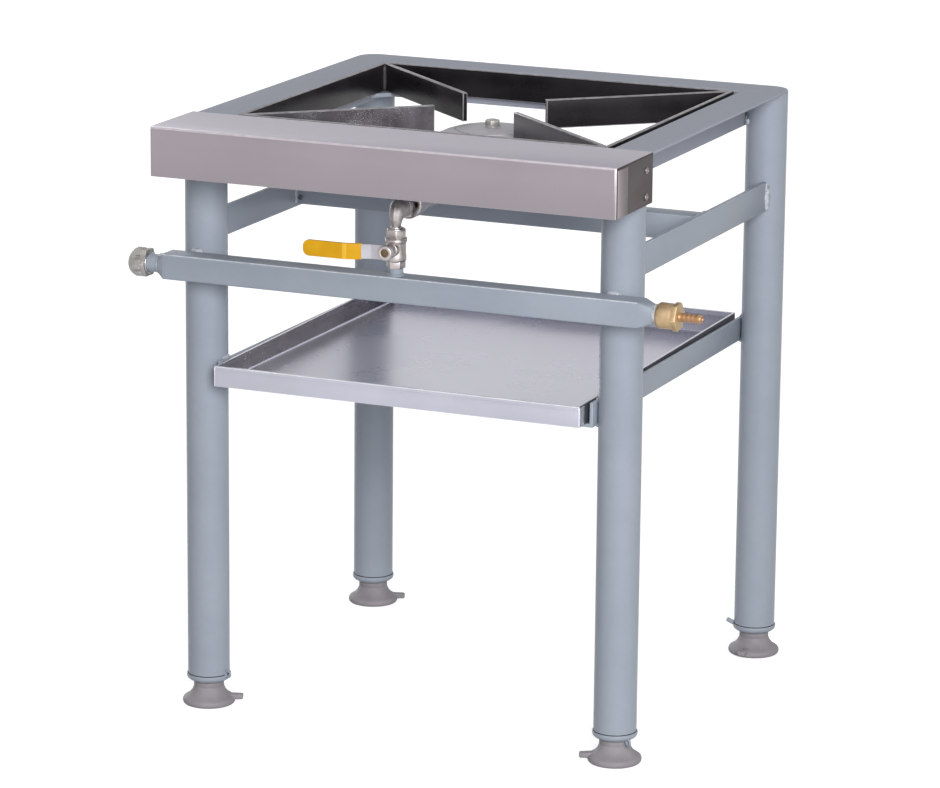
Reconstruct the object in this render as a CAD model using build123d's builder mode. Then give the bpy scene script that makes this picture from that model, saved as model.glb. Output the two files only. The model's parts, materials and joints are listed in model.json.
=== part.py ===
from build123d import *
from math import atan2, cos, degrees, hypot, radians, sin, sqrt
import os

# Single burner boiling table. Millimetres, +X right, +Y back, +Z up.
# The origin is on the floor, midway between the four legs.

# Stance
leg_pitch_x = 524.0
leg_pitch_y = 470.0
table_top = 713.0

# Fits
seat_gap = 0.3
shaft_gap = 0.05
bolt_gap = 0.2

# Leg tubes
leg_dia = 50.0
leg_wall = 2.0

# Dished caps under the legs
cap_bottom = 28.5
cap_cone = 5.0
cap_socket = 4.0
cap_wall = 1.2
cap_floor = 3.0
cap_low_dia = 39.0

# Cup feet, each turning on a stud
cup_dia = 63.0
cup_rim = 8.0
cup_neck_dia = 36.0
cup_sole_inset = 2.0
cup_shoulder_inset = 2.7
cup_flare_top = 20.0
cup_dish_dia = 44.0
cup_dish_depth = 6.0
cup_tab_reach = 41.0
cup_tab_width = 10.0
cup_tab_bottom = 3.5
cup_tab_thick = 7.5
cup_tab_round = 2.5
tab_angles = {"front_left": 23.0, "front_right": 203.0, "back_left": 23.0, "back_right": 266.0}
stud_dia = 8.0
stud_sink = 18.0
stud_nut_flats = 13.0
stud_nut_height = 6.5
stud_tip = 1.5

# Top rails, angles as wide as the legs
rail_sheet = 3.0
rail_bend_share = 0.8
skirt_depth = 44.0

# Lift-out trivet, lying a little to the left of the middle, and the corner lugs under it
trivet_height = 35.0
trivet_shift = -3.0
ring_thick = 5.0
ring_gap = 4.5
spoke_thick = 6.0
spoke_inner = 70.0
lug_side = 42.0
lug_thick = 5.0

# Fascia
fascia_sheet = 1.2
fascia_bend = 3.5
fascia_depth = 110.0
fascia_height = 58.0
fascia_overhang = 66.0
fascia_slit = 0.5
rivet_dia = 4.0
rivet_head_dia = 8.0
rivet_head = 1.6
rivet_head_slope = 25.0
rivet_tail = 3.0
rivet_high = 17.0
rivet_low = 47.0

# Side bars and the burner crossbar
side_bar_drop = 110.0
side_bar_height = 36.0
side_bar_thick = 5.0
side_bar_shift = 10.0
cross_drop = 112.0
cross_leg = 30.0
cross_thick = 3.0

# Drip tray and its runners
runner_drop = 285.0
runner_leg = 29.0
runner_thick = 4.0
runner_length = 514.0
tray_side_gap = 3.5
tray_sheet = 1.2
tray_wall = 24.5
tray_back_wall = 30.0
tray_length = 508.0
tray_proud = 23.0
hem_height = 6.0
hem_thick = 2.6

# Gas manifold across the front legs
manifold_size = 30.0
manifold_wall = 2.0
manifold_drop = 155.7
manifold_left = 30.0
manifold_right = 39.0
taper_left = 10.0
taper_right = 17.0
taper_land = 1.0

# Half inch nipples, end cap and hose connector
nipple_dia = 21.3
nipple_bore = 16.0
nipple_grip = 12.0
nipple_show_left = 14.0
nipple_show_right = 2.5
end_cap_rim = 6.0
end_cap_flats = 31.0
end_cap_dia = 30.0
end_cap_length = 23.0
end_cap_round = 6.0
end_cap_rib_width = 12.0
end_cap_rib_proud = 1.2
end_cap_ribs = 6
tape_thick = 0.4
hose_collar_dia = 28.4
hose_collar_length = 19.5
hose_chamfer = 2.5
hose_flats = 29.0
hose_hex = 6.5
hose_tail_dia = 10.0
hose_tail_length = 26.5
hose_tail_chamfer = 1.2
hose_bore = 6.0
hose_groove = 2.0
hose_groove_depth = 0.5
hose_groove_pitch = 6.0
hose_grooves = 3

# Ball valve standing on the manifold
valve_nipple_dia = 17.2
valve_nipple_bore = 12.0
valve_nipple_show = 8.7
valve_grip = 9.0
valve_flats = 21.0
valve_hex = 9.0
valve_barrel_dia = 24.0
valve_pivot = 22.5
valve_length = 46.0
insert_spigot = 1.0
insert_collar = 2.5
valve_port = 10.0
ball_dia = 17.0
seat_reach = 10.0
seat_thick = 5.0
stem_boss_dia = 15.0
stem_boss_reach = 17.0
stem_dia = 8.5
stem_tang = 3.0
stem_tang_width = 6.0
stem_tang_depth = 3.0
gland_flats = 14.0
gland_length = 6.5

# Lever on the valve's stem
lever_reach = 27.0
lever_thick = 2.5
lever_width = 16.5
lever_length = 97.0
lever_heel = 9.0
lever_bend_start = 16.0
lever_bend_end = 46.0
lever_offset = 11.0
lever_tip_flat = 1.8
sleeve_start = 28.0
sleeve_skin = 1.0
lever_nut_dia = 18.0
lever_nut_height = 3.0
stem_recess = 1.0

# Elbow and injector
elbow_rise = 22.0
elbow_reach = 20.0
elbow_dia = 18.0
elbow_bend = 14.0
elbow_grip = 8.0
elbow_rim_dia = 22.0
elbow_rim = 8.0
elbow_bore = 9.0
injector_thread_dia = 13.5
injector_flats = 17.0
injector_hex = 6.0
injector_shank_dia = 10.0
injector_shank = 15.0
injector_tip_dia = 6.0
injector_tip = 6.0
injector_bore = 5.0
injector_jet = 1.5

# Air shutter and mixing tube
shutter_dia = 34.0
shutter_thick = 2.5
shutter_stand_off = 4.0
shutter_hole_dia = 7.0
shutter_holes = 4
shutter_hole_circle_dia = 20.0
shutter_tab_width = 8.0
shutter_tab_proud = 5.0
mouth_gap = 0.5
mouth_plate = 3.0
mouth_length = 12.0
mouth_taper = 30.0
throat_dia = 26.0
mixing_dia = 32.0
mixing_wall = 2.5
mixing_sink = 9.0

# Burner
burner_dia = 132.0
burner_wall = 5.0
burner_floor = 4.0
burner_rim_rise = 32.0
burner_neck_dia = 40.0
burner_neck = 14.0
burner_boss_dia = 34.0
burner_post_dia = 20.0
port_count = 36
port_width = 3.0
port_depth = 3.5
burner_cap_dia = 146.0
burner_cap_edge = 3.5
burner_cap_rise = 18.5
burner_cap_thick = 5.0
burner_cap_crown_dia = 30.0
burner_cap_fullness = 0.76
cap_groove_width = 1.6
cap_groove_depth = 0.8
bolt_dia = 10.0
bolt_flats = 16.0
bolt_head = 8.6
bolt_tail = 4.0
nut_height = 8.0

# Places worked out from the sizes above
leg_x = leg_pitch_x / 2
leg_y = leg_pitch_y / 2
leg_r = leg_dia / 2
plate_under = table_top - rail_sheet
frame_x = leg_x + leg_r
frame_y = leg_y + leg_r
open_x = frame_x - leg_dia
open_y = frame_y - leg_dia
skirt_y = leg_y - sqrt(leg_r**2 - (leg_r - rail_sheet) ** 2) - bolt_gap
leg_bottom = cap_bottom + cap_cone + bolt_gap
trivet_bottom = table_top - trivet_height
ring_x = open_x - ring_gap
ring_y = open_y - ring_gap
cross_top = table_top - cross_drop
side_bar_left = -leg_x + side_bar_shift
side_bar_right = leg_x + side_bar_shift - side_bar_thick
runner_top = table_top - runner_drop
runner_floor = runner_top - runner_leg + runner_thick
tray_x = open_x - runner_thick - tray_side_gap
tray_bottom = runner_floor + seat_gap
tray_front = -runner_length / 2 - tray_proud
manifold_y = -frame_y - manifold_size / 2
manifold_top = table_top - manifold_drop
manifold_z = manifold_top - manifold_size / 2
nipple_r = nipple_dia / 2
pipe_left = -leg_x - manifold_left
pipe_right = leg_x + manifold_right
cap_mouth = pipe_left - taper_left - nipple_show_left
hose_mouth = pipe_right + taper_right + nipple_show_right
valve_bottom = manifold_top + valve_nipple_show
pivot_z = valve_bottom + valve_pivot
valve_split = pivot_z + seat_reach + insert_spigot
valve_top = valve_bottom + valve_length
chamber_r = ball_dia / 2 + seat_gap
stem_r = stem_dia / 2
gland_front = manifold_y - stem_boss_reach - gland_length
lever_back = manifold_y - lever_reach
lever_front = lever_back - lever_thick
stem_end = lever_front - lever_nut_height + stem_recess
mix_z = valve_top + elbow_rise
elbow_end = manifold_y + elbow_reach
shutter_front = elbow_end + injector_hex + shutter_stand_off
mouth_front = shutter_front + shutter_thick + mouth_gap
burner_r = burner_dia / 2
bowl_floor = mix_z - mixing_dia / 2
bowl_under = bowl_floor - burner_floor
bowl_rim = mix_z + burner_rim_rise
cap_crown = bowl_rim + burner_cap_rise
bolt_r = bolt_dia / 2
corners = {"front_left": (-1, -1), "front_right": (1, -1), "back_left": (-1, 1), "back_right": (1, 1)}
rivet_heights = (table_top - rivet_high, table_top - rivet_low)


# A profile on this plane is drawn as radius and height
def upright(x, y):
    return Plane((x, y, 0), x_dir=(1, 0, 0), z_dir=(0, -1, 0))


# A profile on this plane is drawn as distance along X and radius
def lengthwise(y, z):
    return Plane((0, y, z), x_dir=(1, 0, 0), z_dir=(0, -1, 0))


# A profile on this plane is drawn as distance along Y and radius
def depthwise(x, z):
    return Plane((x, 0, z), x_dir=(0, 1, 0), z_dir=(1, 0, 0))


# A section square to X, facing +X
def facing_x(x, y, z):
    return Plane((x, y, z), x_dir=(0, 1, 0), z_dir=(1, 0, 0))


# A section square to Y, facing +Y
def facing_y(x, y, z):
    return Plane((x, y, z), x_dir=(1, 0, 0), z_dir=(0, 1, 0))


def keep(builder, label):
    builder.part.label = label
    export_step(builder.part, f"parts/{label}.step")


# The leg tubes. The front pair is drilled for the fascia's rivets.
def make_leg(label, x, y):
    with BuildPart() as leg:
        with BuildSketch(Plane.XY.offset(leg_bottom)):
            with Locations((x, y)):
                Circle(leg_r)
                Circle(leg_r - leg_wall, mode=Mode.SUBTRACT)
        extrude(amount=plate_under - leg_bottom)
        if y < 0:
            wall_x = x + (leg_r if x > 0 else -leg_r)
            with Locations(*[(wall_x, y, z) for z in rivet_heights]):
                Cylinder(rivet_dia / 2, 3 * leg_wall, rotation=(0, 90, 0), mode=Mode.SUBTRACT)
    keep(leg, label)


# A dished cap: a socket for the tube over a cone, with a hole for the foot's stud
def make_leg_cap(label, x, y):
    socket_r = leg_r + bolt_gap
    rim_r = socket_r + cap_wall
    well_r = cap_low_dia / 2
    cone_top = cap_bottom + cap_cone
    rim_top = leg_bottom + cap_socket
    hole_r = stud_dia / 2 + shaft_gap
    with BuildPart() as cap:
        with BuildSketch(upright(x, y)):
            Polygon(
                (hole_r, cap_bottom),
                (cap_low_dia / 2, cap_bottom),
                (rim_r, cone_top),
                (rim_r, rim_top),
                (socket_r, rim_top),
                (socket_r, leg_bottom),
                (well_r, leg_bottom),
                (well_r, cap_bottom + cap_floor),
                (hole_r, cap_bottom + cap_floor),
                align=None,
            )
        revolve(axis=Axis((x, y, 0), (0, 0, 1)))
    keep(cap, label)


# A rubber cup with a hollow underside, a hole for its stud and a release tab on its rim
def make_foot(label, x, y, tab_angle):
    top = cap_bottom - seat_gap
    rim_r = cup_dia / 2
    sole_r = rim_r - cup_sole_inset
    shoulder_r = rim_r - cup_shoulder_inset
    neck_r = cup_neck_dia / 2
    dish_r = cup_dish_dia / 2
    hole_r = stud_dia / 2
    hole_low = top - stud_sink
    turn = radians(tab_angle)
    tab_middle = (neck_r + cup_tab_reach) / 2
    with BuildPart() as foot:
        with BuildSketch(upright(x, y)):
            with BuildLine():
                Polyline((hole_r, hole_low), (hole_r, top), (neck_r, top), (neck_r, cup_flare_top))
                TangentArc((neck_r, cup_flare_top), (shoulder_r, cup_rim), tangent=(0, -1))
                ThreePointArc((shoulder_r, cup_rim), (rim_r, cup_rim / 2), (sole_r, 0))
                Line((sole_r, 0), (dish_r, 0))
                TangentArc((0, cup_dish_depth), (dish_r, 0), tangent=(1, 0))
                Polyline((0, cup_dish_depth), (0, hole_low), (hole_r, hole_low))
            make_face()
        revolve(axis=Axis((x, y, 0), (0, 0, 1)))
        with BuildSketch(Plane.XY.offset(cup_tab_bottom)):
            with Locations((x + tab_middle * cos(turn), y + tab_middle * sin(turn))):
                RectangleRounded(cup_tab_reach - neck_r, cup_tab_width, cup_tab_round, rotation=tab_angle)
        extrude(amount=cup_tab_thick)
    keep(foot, label)


# The stud moulded into a cup, with its nut above the dished cap's floor
def make_foot_stud(label, x, y):
    stud_low = cap_bottom - seat_gap - stud_sink
    nut_low = cap_bottom + cap_floor + seat_gap
    nut_top = nut_low + stud_nut_height
    with BuildPart() as stud:
        with BuildSketch(Plane.XY.offset(stud_low)):
            with Locations((x, y)):
                Circle(stud_dia / 2)
        extrude(amount=nut_top + stud_tip - stud_low)
        with BuildSketch(Plane.XY.offset(nut_low)):
            with Locations((x, y)):
                RegularPolygon(stud_nut_flats / 2, 6, major_radius=False)
        extrude(amount=stud_nut_height)
    keep(stud, label)


# Mitre joints run at 45 degrees, and the other top edges follow the frame
def is_mitre(edge):
    tangent = edge.tangent_at(0.5)
    return edge.geom_type == GeomType.LINE and min(abs(tangent.X), abs(tangent.Y)) > 0.1


# One top rail: a mitred plate, and a skirt at its inner edge
def make_rail(label, outline, skirt):
    with BuildPart() as rail:
        with BuildSketch(Plane.XY.offset(plate_under)):
            RectangleRounded(2 * frame_x, 2 * frame_y, leg_r)
            Rectangle(2 * open_x, 2 * open_y, mode=Mode.SUBTRACT)
            Polygon(*outline, align=None, mode=Mode.INTERSECT)
        extrude(amount=rail_sheet)
        top_edges = rail.edges().group_by(Axis.Z)[-1]
        fillet([edge for edge in top_edges if not is_mitre(edge)], radius=rail_bend_share * rail_sheet)
        with BuildSketch(Plane.XY.offset(table_top - skirt_depth)):
            Polygon(*skirt, align=None)
        extrude(amount=skirt_depth - rail_sheet)
    keep(rail, label)


# Corner lugs, welded inside the skirts under the trivet's corners
def make_trivet_lugs():
    with BuildPart() as lugs:
        with BuildSketch(Plane.XY.offset(trivet_bottom - lug_thick)):
            for side, end in corners.values():
                Polygon(
                    (side * open_x, end * open_y),
                    (side * (open_x - lug_side), end * open_y),
                    (side * open_x, end * (open_y - lug_side)),
                    align=None,
                )
        extrude(amount=lug_thick)
    keep(lugs, "trivet_lugs")


# The trivet's ring: long bars at the sides, shorter ones between them
def make_trivet_ring():
    side_x = ring_x - ring_thick / 2
    end_y = ring_y - ring_thick / 2
    with BuildPart() as ring:
        with BuildSketch(Plane.XY.offset(trivet_bottom)):
            with Locations((trivet_shift - side_x, 0), (trivet_shift + side_x, 0)):
                Rectangle(ring_thick, 2 * ring_y)
        extrude(amount=trivet_height)
    with BuildPart() as ends:
        with BuildSketch(Plane.XY.offset(trivet_bottom)):
            with Locations((trivet_shift, -end_y), (trivet_shift, end_y)):
                Rectangle(2 * ring_x - 2 * ring_thick, ring_thick)
        extrude(amount=trivet_height)
    keep(ring, "trivet_ring_sides")
    keep(ends, "trivet_ring_ends")


# Flat bars on edge, from the ring's corners towards the burner
def make_trivet_spokes():
    inner_x = ring_x - ring_thick
    inner_y = ring_y - ring_thick
    corner = hypot(inner_x, inner_y)
    length = corner - spoke_inner + spoke_thick
    middle = spoke_inner + length / 2
    angle = atan2(inner_y, inner_x)
    with BuildPart() as spokes:
        with BuildSketch(Plane.XY.offset(trivet_bottom)):
            for side, end in corners.values():
                with Locations((trivet_shift + side * middle * cos(angle), end * middle * sin(angle))):
                    Rectangle(length, spoke_thick, rotation=side * end * degrees(angle))
            with Locations((trivet_shift, 0)):
                Rectangle(2 * inner_x, 2 * inner_y, mode=Mode.INTERSECT)
        extrude(amount=trivet_height)
    keep(spokes, "trivet_spokes")


# The fascia is a folded tray of sheet, open below and behind
def make_fascia():
    back = fascia_depth - fascia_overhang - frame_y
    front = back - fascia_depth
    inner_x = frame_x + seat_gap
    outer_x = inner_x + fascia_sheet
    top = table_top + fascia_sheet
    bottom = top - fascia_height
    middle = (front + back) / 2
    inner_bend = fascia_bend - fascia_sheet
    with BuildPart() as core:
        with BuildSketch(Plane.XY.offset(bottom)):
            with Locations((0, middle + fascia_sheet / 2)):
                Rectangle(2 * inner_x, fascia_depth - fascia_sheet)
        extrude(amount=table_top - bottom)
        core_front = core.faces().sort_by(Axis.Y)[0]
        core_bottom = core_front.edges().sort_by(Axis.Z)[0]
        fillet([edge for edge in core_front.edges() if edge != core_bottom], radius=inner_bend)
    with BuildPart() as fascia:
        with BuildSketch(Plane.XY.offset(bottom)):
            with Locations((0, middle)):
                Rectangle(2 * outer_x, fascia_depth)
        extrude(amount=fascia_height)
        face = fascia.faces().sort_by(Axis.Y)[0]
        lower = face.edges().sort_by(Axis.Z)[0]
        fillet([edge for edge in face.edges() if edge != lower], radius=fascia_bend)
        add(core.part, mode=Mode.SUBTRACT)
        slit_y = (front + fascia_bend + back) / 2
        slit_z = table_top - fascia_slit / 2
        with Locations((-outer_x, slit_y, slit_z), (outer_x, slit_y, slit_z)):
            Box(3 * fascia_sheet, fascia_depth - fascia_bend, fascia_slit, mode=Mode.SUBTRACT)
        with Locations(*[(side * outer_x, -leg_y, z) for side in (-1, 1) for z in rivet_heights]):
            Cylinder(rivet_dia / 2, 4 * fascia_sheet, rotation=(0, 90, 0), mode=Mode.SUBTRACT)
    keep(fascia, "fascia")


# Blind rivets through the fascia's ends into the front legs
def make_fascia_rivets():
    outer_x = frame_x + seat_gap + fascia_sheet
    tail_x = frame_x - leg_wall - rivet_tail
    with BuildPart() as rivets:
        for side in (-1, 1):
            for z in rivet_heights:
                with BuildSketch(facing_x(side * tail_x, -leg_y, z)):
                    Circle(rivet_dia / 2)
                extrude(amount=side * (outer_x - tail_x))
                with BuildSketch(facing_x(side * outer_x, -leg_y, z)):
                    Circle(rivet_head_dia / 2)
                extrude(amount=side * rivet_head, taper=rivet_head_slope)
    keep(rivets, "fascia_rivets")


# Flat side bars, notched to the legs at both ends. Both stand to the right of the leg centres.
def make_side_bar(label, side):
    with BuildPart() as bar:
        with BuildSketch(Plane.XY.offset(table_top - side_bar_drop - side_bar_height)):
            with Locations((side * leg_x + side_bar_shift - side_bar_thick / 2, 0)):
                Rectangle(side_bar_thick, leg_pitch_y)
            with Locations((side * leg_x, -leg_y), (side * leg_x, leg_y)):
                Circle(leg_r, mode=Mode.SUBTRACT)
        extrude(amount=side_bar_height)
    keep(bar, label)


# Angle under the burner, its flange on top and pointing back
def make_crossbar():
    front = -cross_leg / 2
    low = cross_top - cross_leg
    with BuildPart() as crossbar:
        with BuildSketch(Plane.YZ.offset(side_bar_left)):
            Polygon(
                (front, low),
                (front + cross_thick, low),
                (front + cross_thick, cross_top - cross_thick),
                (front + cross_leg, cross_top - cross_thick),
                (front + cross_leg, cross_top),
                (front, cross_top),
                align=None,
            )
        extrude(amount=side_bar_right - side_bar_left)
        with Locations((0, 0, cross_top)):
            Cylinder(bolt_r + bolt_gap, 3 * cross_thick, mode=Mode.SUBTRACT)
    keep(crossbar, "burner_crossbar")


# Angle runners along the legs' inner sides, with the tray on their lower flanges
def make_runner(label, side):
    low = runner_top - runner_leg
    with BuildPart() as runner:
        with BuildSketch(Plane.XZ):
            Polygon(
                (side * open_x, low),
                (side * open_x, runner_top),
                (side * (open_x - runner_thick), runner_top),
                (side * (open_x - runner_thick), runner_floor),
                (side * (open_x - runner_leg), runner_floor),
                (side * (open_x - runner_leg), low),
                align=None,
            )
        extrude(amount=runner_length / 2, both=True)
    keep(runner, label)


# Folded drip tray, its walls rising to the back and hemmed inwards along the top
def make_tray():
    front = tray_front
    back = tray_front + tray_length
    floor = tray_bottom + tray_sheet
    front_top = tray_bottom + tray_wall
    back_top = tray_bottom + tray_back_wall
    with BuildPart() as tray:
        with BuildSketch(Plane.YZ):
            Polygon(
                (front, tray_bottom),
                (back, tray_bottom),
                (back, back_top),
                (front, front_top),
                align=None,
            )
        extrude(amount=tray_x, both=True)
        with BuildSketch(Plane.YZ):
            Polygon(
                (front + tray_sheet, floor),
                (back - tray_sheet, floor),
                (back - tray_sheet, back_top - hem_height),
                (front + tray_sheet, front_top - hem_height),
                align=None,
            )
        extrude(amount=tray_x - tray_sheet, both=True, mode=Mode.SUBTRACT)
        with BuildSketch(Plane.YZ):
            Polygon(
                (front + hem_thick, floor),
                (back - hem_thick, floor),
                (back - hem_thick, back_top + hem_height),
                (front + hem_thick, front_top + hem_height),
                align=None,
            )
        extrude(amount=tray_x - hem_thick, both=True, mode=Mode.SUBTRACT)
    keep(tray, "drip_tray")


# Square tube with its ends necked down to the nipples
def make_manifold():
    inner = manifold_size - 2 * manifold_wall
    length = pipe_right - pipe_left
    middle = (pipe_left + pipe_right) / 2
    with BuildPart() as manifold:
        with BuildSketch(facing_x(pipe_left, manifold_y, manifold_z)):
            RectangleRounded(manifold_size, manifold_size, manifold_wall)
        extrude(amount=length)
        for x, taper in ((pipe_left, -taper_left), (pipe_right, taper_right)):
            with BuildSketch(facing_x(x, manifold_y, manifold_z)):
                RectangleRounded(manifold_size, manifold_size, manifold_wall)
            with BuildSketch(facing_x(x + taper, manifold_y, manifold_z)):
                Circle(nipple_r + taper_land)
            loft()
        with Locations((middle, manifold_y, manifold_z)):
            Box(length - 2 * manifold_wall, inner, inner, mode=Mode.SUBTRACT)
            Cylinder(nipple_r, 2 * length, rotation=(0, 90, 0), mode=Mode.SUBTRACT)
        with Locations((0, manifold_y, manifold_top)):
            Cylinder(valve_nipple_dia / 2, 3 * manifold_wall, mode=Mode.SUBTRACT)
    keep(manifold, "gas_manifold")


# Short pipes in the manifold's ends
def make_nipples():
    left_end = cap_mouth - nipple_grip
    right_end = hose_mouth + nipple_grip
    with BuildPart() as nipples:
        for start, end in ((left_end, pipe_left), (pipe_right, right_end)):
            with BuildSketch(facing_x(start, manifold_y, manifold_z)):
                Circle(nipple_r)
                Circle(nipple_bore / 2, mode=Mode.SUBTRACT)
            extrude(amount=end - start)
    keep(nipples, "manifold_nipples")


# Ribbed cap screwed on the left nipple
def make_end_cap():
    body_r = end_cap_dia / 2
    rib_length = end_cap_length - end_cap_rim - end_cap_round
    with BuildPart() as cap:
        with BuildSketch(facing_x(cap_mouth, manifold_y, manifold_z)):
            Circle(body_r)
        extrude(amount=-end_cap_length)
        fillet(cap.edges().sort_by(Axis.X)[0], radius=end_cap_round)
        with BuildSketch(facing_x(cap_mouth, manifold_y, manifold_z)):
            RegularPolygon(end_cap_flats / 2, 6, major_radius=False)
        extrude(amount=-end_cap_rim)
        with BuildSketch(facing_x(cap_mouth - end_cap_rim, manifold_y, manifold_z)):
            with PolarLocations(body_r - end_cap_rib_proud, end_cap_ribs):
                Rectangle(4 * end_cap_rib_proud, end_cap_rib_width)
        extrude(amount=-rib_length)
        with Locations((cap_mouth, manifold_y, manifold_z)):
            Cylinder(nipple_r, 2 * nipple_grip, rotation=(0, 90, 0), mode=Mode.SUBTRACT)
    keep(cap, "manifold_end_cap")


# Brass connector with a grooved tail for the gas hose, and the tape on its thread
def make_hose_connector():
    collar_end = hose_mouth + hose_collar_length
    hex_end = collar_end + hose_hex
    tail_end = hex_end + hose_tail_length
    collar_r = hose_collar_dia / 2
    tail_r = hose_tail_dia / 2
    plane = lengthwise(manifold_y, manifold_z)
    pipe_axis = Axis((0, manifold_y, manifold_z), (1, 0, 0))
    with BuildPart() as connector:
        with BuildSketch(plane):
            Polygon(
                (hose_mouth, 0),
                (hose_mouth, collar_r - hose_chamfer),
                (hose_mouth + hose_chamfer, collar_r),
                (hex_end, collar_r),
                (hex_end, tail_r),
                (tail_end - hose_tail_chamfer, tail_r),
                (tail_end, tail_r - hose_tail_chamfer),
                (tail_end, 0),
                align=None,
            )
        revolve(axis=pipe_axis)
        with BuildSketch(facing_x(collar_end, manifold_y, manifold_z)):
            RegularPolygon(hose_flats / 2, 6, major_radius=False)
        extrude(amount=hose_hex)
        with BuildSketch(plane):
            for index in range(hose_grooves):
                middle = tail_end - (index + 1) * hose_groove_pitch
                Polygon(
                    (middle - hose_groove / 2, tail_r - hose_groove_depth),
                    (middle + hose_groove / 2, tail_r - hose_groove_depth),
                    (middle + hose_groove / 2, tail_r + hose_groove_depth),
                    (middle - hose_groove / 2, tail_r + hose_groove_depth),
                    align=None,
                )
        revolve(axis=pipe_axis, mode=Mode.SUBTRACT)
        with Locations((hose_mouth, manifold_y, manifold_z)):
            Cylinder(nipple_r, 2 * nipple_grip, rotation=(0, 90, 0), mode=Mode.SUBTRACT)
        with Locations(((hose_mouth + tail_end) / 2, manifold_y, manifold_z)):
            Cylinder(hose_bore / 2, 2 * (tail_end - hose_mouth), rotation=(0, 90, 0), mode=Mode.SUBTRACT)
    keep(connector, "hose_connector")
    with BuildPart() as tape:
        with BuildSketch(facing_x(pipe_right + taper_right, manifold_y, manifold_z)):
            Circle(nipple_r + tape_thick)
            Circle(nipple_r, mode=Mode.SUBTRACT)
        extrude(amount=nipple_show_right)
    keep(tape, "thread_tape")


# Stub pipe from the manifold up into the valve
def make_valve_nipple():
    low = manifold_top - 2 * manifold_wall
    with BuildPart() as stub:
        with BuildSketch(Plane.XY.offset(low)):
            with Locations((0, manifold_y)):
                Circle(valve_nipple_dia / 2)
                Circle(valve_nipple_bore / 2, mode=Mode.SUBTRACT)
        extrude(amount=valve_bottom + valve_grip - low)
    keep(stub, "valve_nipple")


# Valve body: hexagon end, barrel and stem boss around the ball's chamber
def make_valve_body():
    chamber_low = pivot_z - seat_reach
    with BuildPart() as body:
        with BuildSketch(Plane.XY.offset(valve_bottom)):
            with Locations((0, manifold_y)):
                RegularPolygon(valve_flats / 2, 6, major_radius=False)
        extrude(amount=valve_hex)
        with BuildSketch(Plane.XY.offset(valve_bottom + valve_hex)):
            with Locations((0, manifold_y)):
                Circle(valve_barrel_dia / 2)
        extrude(amount=valve_split - valve_bottom - valve_hex)
        with BuildSketch(facing_y(0, manifold_y, pivot_z)):
            Circle(stem_boss_dia / 2)
        extrude(amount=-stem_boss_reach)
        with Locations((0, manifold_y, valve_bottom)):
            Cylinder(valve_nipple_dia / 2, 2 * valve_grip, mode=Mode.SUBTRACT)
        with Locations((0, manifold_y, (valve_bottom + pivot_z) / 2)):
            Cylinder(valve_port / 2, pivot_z - valve_bottom, mode=Mode.SUBTRACT)
        with Locations((0, manifold_y, chamber_low)):
            Cylinder(
                chamber_r,
                valve_split - chamber_low,
                align=(Align.CENTER, Align.CENTER, Align.MIN),
                mode=Mode.SUBTRACT,
            )
        with Locations((0, manifold_y - stem_boss_reach, pivot_z)):
            Cylinder(stem_r + shaft_gap, 2 * stem_boss_reach, rotation=(90, 0, 0), mode=Mode.SUBTRACT)
    keep(body, "valve_body")


# Screwed insert that closes the valve over its upper seat
def make_valve_insert():
    with BuildPart() as insert:
        with BuildSketch(Plane.XY.offset(valve_split)):
            with Locations((0, manifold_y)):
                Circle(valve_barrel_dia / 2)
        extrude(amount=insert_collar)
        with BuildSketch(Plane.XY.offset(valve_split + insert_collar)):
            with Locations((0, manifold_y)):
                RegularPolygon(valve_flats / 2, 6, major_radius=False)
        extrude(amount=valve_top - valve_split - insert_collar)
        with BuildSketch(Plane.XY.offset(pivot_z + seat_reach)):
            with Locations((0, manifold_y)):
                Circle(chamber_r)
        extrude(amount=valve_split - pivot_z - seat_reach)
        with Locations((0, manifold_y, valve_top)):
            Cylinder(elbow_dia / 2, 2 * elbow_grip, mode=Mode.SUBTRACT)
            Cylinder(valve_port / 2, 2 * valve_length, mode=Mode.SUBTRACT)
    keep(insert, "valve_insert")


# Ring seats below and above the ball
def make_valve_seats():
    with BuildPart() as seats:
        with BuildSketch(Plane.XY.offset(pivot_z - seat_reach)):
            with Locations((0, manifold_y)):
                Circle(chamber_r)
                Circle(valve_port / 2, mode=Mode.SUBTRACT)
        extrude(amount=seat_thick)
        with BuildSketch(Plane.XY.offset(pivot_z + seat_reach - seat_thick)):
            with Locations((0, manifold_y)):
                Circle(chamber_r)
                Circle(valve_port / 2, mode=Mode.SUBTRACT)
        extrude(amount=seat_thick)
        with Locations((0, manifold_y, pivot_z)):
            Sphere(ball_dia / 2 + seat_gap, mode=Mode.SUBTRACT)
    keep(seats, "valve_seats")


# The ball is closed at rest, so its port lies along X
def make_valve_ball():
    ball_front = manifold_y - ball_dia / 2
    with BuildPart() as ball:
        with Locations((0, manifold_y, pivot_z)):
            Sphere(ball_dia / 2)
            Cylinder(valve_port / 2, 2 * ball_dia, rotation=(0, 90, 0), mode=Mode.SUBTRACT)
        with Locations((0, ball_front, pivot_z)):
            Box(ball_dia, 2 * stem_tang_depth, stem_tang, mode=Mode.SUBTRACT)
    keep(ball, "valve_ball")


# Stem from the ball out through the gland and the lever
def make_valve_stem():
    ball_front = manifold_y - ball_dia / 2
    shoulder = ball_front - seat_gap
    with BuildPart() as stem:
        with BuildSketch(facing_y(0, shoulder, pivot_z)):
            Circle(stem_r)
        extrude(amount=stem_end - shoulder)
        with BuildSketch(facing_y(0, shoulder, pivot_z)):
            Rectangle(stem_tang_width, stem_tang)
        extrude(amount=stem_tang_depth + seat_gap)
    keep(stem, "valve_stem")


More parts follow.
